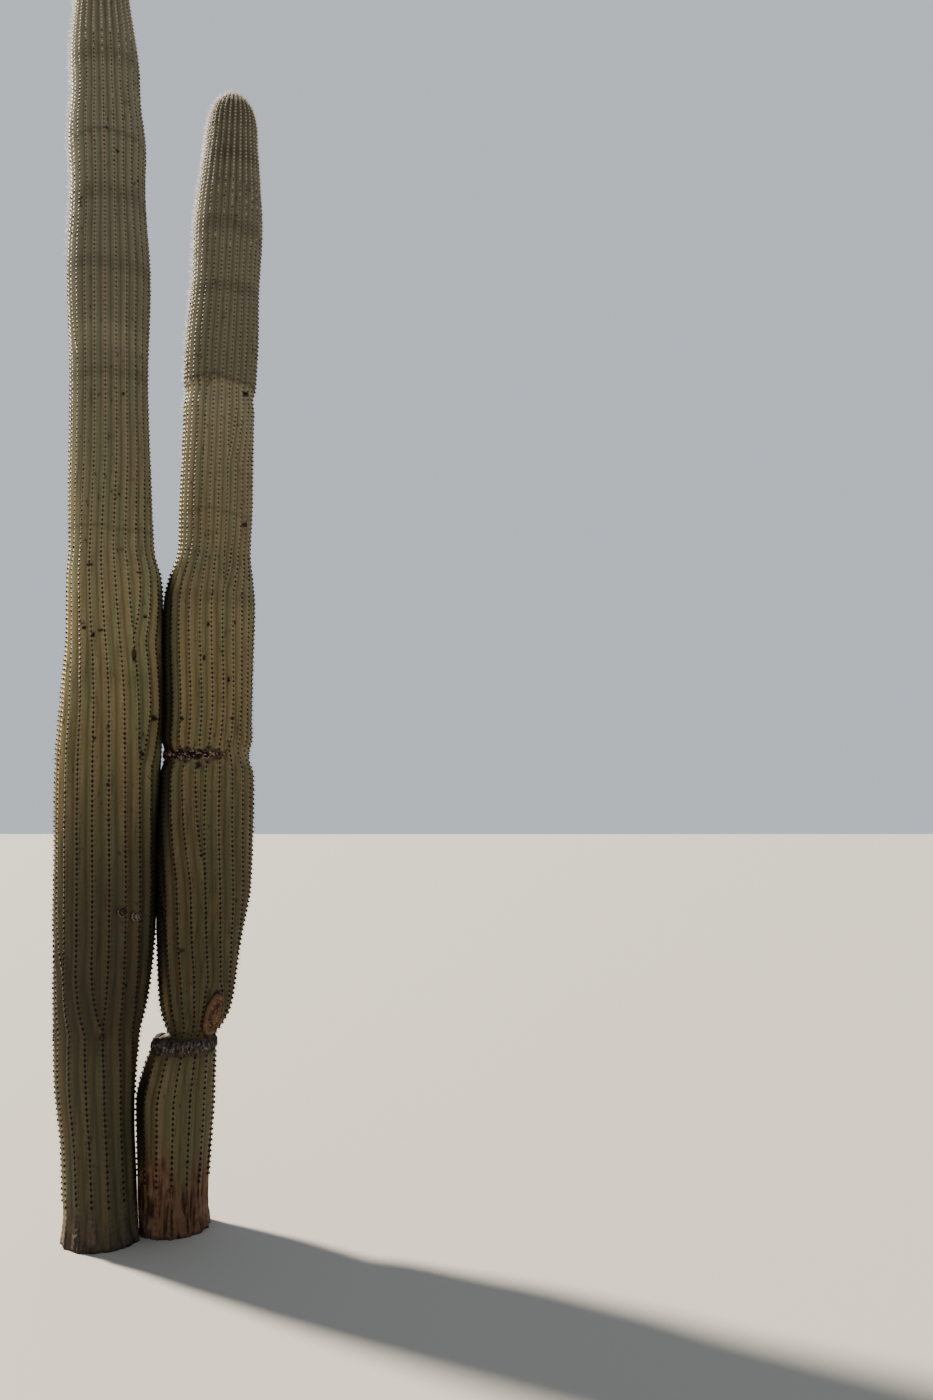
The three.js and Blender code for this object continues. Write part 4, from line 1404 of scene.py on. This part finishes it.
def shield_rows(stem, callus, rings, around, ridge_size, ridge_depth, groove, squeeze):
    """Rings of places over an egg shape, from its outermost point to its back."""
    lean = (np.arange(rings) + 0.5)[:, None] / rings * np.pi * SHIELD_WRAP
    turn = np.arange(around)[None, :] / around * 2 * np.pi
    width, depth, height = callus["half"]
    egg = np.stack(np.broadcast_arrays(
        np.cos(lean) * depth,
        np.sin(lean) * np.cos(turn) * width,
        np.sin(lean) * np.sin(turn) * height), axis=-1)
    ridges = lumps(egg * (1, 1, squeeze) + callus["z"], ridge_size)
    rim = np.exp(-(((lean - RIM_LEAN) / RIM_WIDTH) ** 2))
    pushed = ridges + (rim - groove * np.exp(-(((lean - GROOVE_LEAN) / GROOVE_WIDTH) ** 2)))
    egg = egg * (1 + RIDGE_SWELL * ridges)[..., None]
    egg[..., 0] += ridge_depth * pushed
    tilt = math.radians(-callus["tilt"])
    bearing = math.radians(callus["bearing"])
    forward = egg[..., 0] * math.cos(tilt) + egg[..., 2] * math.sin(tilt)
    rise = egg[..., 2] * math.cos(tilt) - egg[..., 0] * math.sin(tilt)
    z = np.array(float(callus["z"]))
    reach = float(rib_top_radius(stem, z)) + callus["proud"] + forward
    x = np.cos(bearing) * reach - np.sin(bearing) * egg[..., 1]
    y = np.sin(bearing) * reach + np.cos(bearing) * egg[..., 1]
    return np.stack([x, y, rise], axis=-1) + axis_point(stem, z), pushed


wound_rows, wound_rise = shield_rows(
    SECOND, WOUND, rings=30, around=72, ridge_size=8, ridge_depth=4, groove=0.1, squeeze=0.22)
wound = closed_piece("wound_cork", wound_rows, corks["amber_wound_cork"], wound_rise)
knobs = []
for number, knob in enumerate(KNOBS):
    rows, rise = shield_rows(
        MAIN, knob, rings=16, around=40, ridge_size=6, ridge_depth=1.6, groove=0.9, squeeze=1)
    name = f"knob_cork_{number + 1}"
    knobs.append(closed_piece(name, rows, corks["pale_callus_cork"], rise + knob["paleness"]))

# %% [markdown]
# ## Scabs over the old marks
# Bites, bruises and fallen flower scars leave thin, curled scabs on the skin. Each is a small shield
# laid on the pleats themselves, so its place is found by the same rule as the skin's. They are all
# one kind, so they are joined into one piece.

# %% Scabs
SCAB_RINGS = (0.12, 0.4, 0.7, 0.9, 1.08)
SCAB_LIFTS = (2.2, 3.6, 3.0, 4.2, -3.0)
SCAB_CORNERS = 14
SCAB_CURL = 0.8
SCAB_ROOT = -9.0
SCAB_LUMP = 7
THINNEST_ANGLE = 1e-9


def skin_places(stem, z, bearing, lift):
    """Places on the pleated skin, lifted off it by so many millimetres."""
    starts, angles = rib_bearings(stem, stem["gaps"], z)
    turn = (bearing - starts) % (2 * np.pi)
    share = np.clip(turn / np.maximum(angles, THINNEST_ANGLE), 0, 1)
    inside = turn < angles
    share = np.where(inside, share, 0).max(axis=0)
    angle = np.where(inside, angles, 0).max(axis=0)
    radius = rib_top_radius(stem, z)
    sharp = 1 - np.abs(np.cos(np.pi * share))
    wide = np.sin(np.pi * share) ** 2
    valley = sharp + VALLEY_ROUNDNESS * (wide - sharp)
    deep = through(stem["pleats"], z) * radius * angle * valley
    return axis_point(stem, z) + (radius - deep + lift)[:, None] * way_out(bearing)


def scab(stem, at, degrees, half_width, half_height):
    """Rows of places for one scab, from its middle out to an edge that dips under the skin."""
    turn = np.arange(SCAB_CORNERS) / SCAB_CORNERS * 2 * np.pi
    ragged = ripple(turn, ((0.18, 3, at), (0.12, 5, degrees)), 1)
    rows = []
    for share, lift in zip(SCAB_RINGS, SCAB_LIFTS):
        z = at + half_height * share * ragged * np.sin(turn)
        sideways = half_width * share * ragged * np.cos(turn)
        bearing = math.radians(degrees) + sideways / rib_top_radius(stem, z)
        rows.append(skin_places(stem, z, bearing, lift + SCAB_CURL * np.sin(4 * turn + share * 9)))
    rows.append(skin_places(stem, z, bearing, np.full_like(z, SCAB_ROOT)))
    return np.array(rows)


scabs = []
for stem in STEMS:
    for mark in MARKS[stem["name"]]:
        rows = scab(stem, *mark)
        scabs.append(closed_piece("scab", rows, corks["brown_scab_cork"], lumps(rows, SCAB_LUMP)))
with bpy.context.temp_override(active_object=scabs[0], selected_editable_objects=scabs):
    bpy.ops.object.join()
scab_piece = scabs[0]
scab_piece.name = scab_piece.data.name = "healed_scabs"
print("scabs joined:", len(scabs), "with", len(scab_piece.data.polygons), "faces")

# %% [markdown]
# ## Flakes on the cork
# Thin dry chips cling to the dead ring, the collar and the wound. Points are drawn with a fixed seed
# on the outer side of each, with a direction outwards and a second one left to luck, and the
# cushions' own tree sets a flat, five-cornered chip on each.

# %% Flakes
FLAKE_COUNTS = {"ring": 150, "collar": 70, "wound": 60}
FLAKE_LEAN = 0.35
BAND_OUTSIDE = (5, 14)
WOUND_FRONT = 14
flake_draw = np.random.default_rng(23)


def flake_points(name, rows, columns):
    """Points on a part of a piece, with the way out from the piece's own middle."""
    row = flake_draw.integers(0, len(rows), FLAKE_COUNTS[name])
    column = flake_draw.integers(*columns, FLAKE_COUNTS[name])
    place = rows[row, column]
    out = place - axis_point(SECOND, place[:, 2])
    out += flake_draw.normal(0, FLAKE_LEAN, out.shape) * np.linalg.norm(out, axis=1, keepdims=True)
    return {"place": place, "out": unit(out), "up": flake_draw.normal(0, 1, out.shape)}


flake_sets = (
    ("ring", ring_rows, BAND_OUTSIDE, (10, 13, 2.5), plain_finish("pinkish_dry_scale", "#7d665d", 0.9)),
    ("collar", collar_rows, BAND_OUTSIDE, (9, 13, 2.5), plain_finish("grey_dry_scale", "#6f655e", 0.9)),
    ("wound", wound_rows[:WOUND_FRONT], (0, wound_rows.shape[1]), (11, 16, 2.5),
     plain_finish("rusty_dry_scale", "#6e4f37", 0.9)),
)
flakes = []
for name, rows, columns, size, finish in flake_sets:
    values = {"Size": [side * MM for side in size], "Least": 0.5, "Most": 1.2, "Corners": 5, "Seed": 3,
              "Finish": finish}
    found = flake_points(name, rows, columns)
    flakes.append(grow_on(name + "_flakes", found, slice(None), ("out", "up"), cushions, values))

# %% [markdown]
# ## The crowns
# The felted cap on each tip is a low dome of matted hair. Its first spines are already there, so the
# dome itself only needs the soft lumps of its youngest cushions.

# %% Felted crowns
CROWN_RINGS = 14
CROWN_AROUND = 60
CROWN_LUMP = 12
CROWN_RELIEF = 2.5
CROWN_SUNK = 14.0
crown_felt = ridged_finish("matted_crown_felt", "#6e5f45", "#b3a283", "#d8cbb0", "#e6dcc8")
crowns = {}
for stem in STEMS:
    share = (np.arange(CROWN_RINGS) + 0.5)[:, None] / CROWN_RINGS
    bearing = np.arange(CROWN_AROUND)[None, :] / CROWN_AROUND * 2 * np.pi
    dome = crown_places(stem, share, bearing)
    relief = lumps(dome, CROWN_LUMP)
    dome[..., 2] += CROWN_RELIEF * relief
    under = dome[-1:] - np.array([0, 0, CROWN_SUNK])
    rows = np.concatenate([dome, under])
    rise = np.concatenate([relief, relief[-1:]])
    crowns[stem["name"]] = closed_piece(stem["name"] + "_crown_felt", rows, crown_felt, rise)

# %% [markdown]
# ## A soft pale studio
# The plant stands on a plain pale floor that runs out to a plain pale surround. The strong light
# comes from behind on the left and rather high, as the low sun does in the picture, and sets the
# left edges and the tips aglow. The surround fills the shaded side.

# %% Floor, surround and lights
FLOOR_REACH = 60.0
FLOOR_DROP = 0.0005
SURROUND_STRENGTH = 0.8

floor_mesh = bpy.data.meshes.new("floor")
sides = ((-1, -1), (1, -1), (1, 1), (-1, 1))
corners = [(x * FLOOR_REACH, y * FLOOR_REACH, -FLOOR_DROP) for x, y in sides]
floor_mesh.from_pydata(corners, [], [(0, 1, 2, 3)])
floor = new_piece("floor", floor_mesh)
floor_finish, floor_tree, floor_shader = new_material("pale_studio_floor")
feed(floor_tree, floor_shader, {"Base Color": linear("#928e86"), "Roughness": 0.9})
floor_mesh.materials.append(floor_finish)

world = bpy.data.worlds.new("surround")
world.use_nodes = True
background = world.node_tree.nodes["Background"]
feed(world.node_tree, background, {"Color": linear("#dfe8f2"), "Strength": SURROUND_STRENGTH})
bpy.context.scene.world = world

KEY_BEARING = math.radians(150)
KEY_RISE = math.radians(42)
KEY_SPREAD = math.radians(5)
KEY_ENERGY = 19.0
KEY_COLOUR = (1.0, 0.9, 0.77)
key_data = bpy.data.lights.new("key", "SUN")
key_data.energy = KEY_ENERGY
key_data.angle = KEY_SPREAD
key_data.color = KEY_COLOUR
key = bpy.data.objects.new("key", key_data)
level = math.cos(KEY_RISE)
towards_key = Vector((level * math.cos(KEY_BEARING), level * math.sin(KEY_BEARING), math.sin(KEY_RISE)))
key.rotation_euler = towards_key.to_track_quat("Z", "Y").to_euler()
bpy.context.scene.collection.objects.link(key)
print("key light comes from", [round(v, 2) for v in towards_key])

# %% [markdown]
# ## Tying every piece to the frame
# Each skin and each corky piece stands for its solid of the imported model. Everything rides on the
# plant's one body.

# %% Ride and replace
stands_for = [
    (skins["main"], "main_stem", "stem_skin"),
    (skins["second"], "second_stem", "stem_skin"),
    (collar, "bark_collar", "grey_cork"),
    (ring, "frost_ring", "dark_cork"),
    (wound, "wound_callus", "amber_cork"),
    (knobs[0], "knob_callus_1", "grey_cork"),
    (knobs[1], "knob_callus_2", "grey_cork"),
    (crowns["main"], "main_crown", "spiny_wool"),
    (crowns["second"], "second_crown", "spiny_wool"),
]
for piece, node, slot in stands_for:
    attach(piece, "root")
    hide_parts(node)
laid_on = [(piece, "spiny_wool") for piece in spiny_pieces]
laid_on += zip(flakes, ("dark_cork", "grey_cork", "amber_cork"))
laid_on += [(scab_piece, "dark_cork")]
for piece, slot in laid_on:
    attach(piece, "root")
print("pieces:", len(stands_for) + len(laid_on))
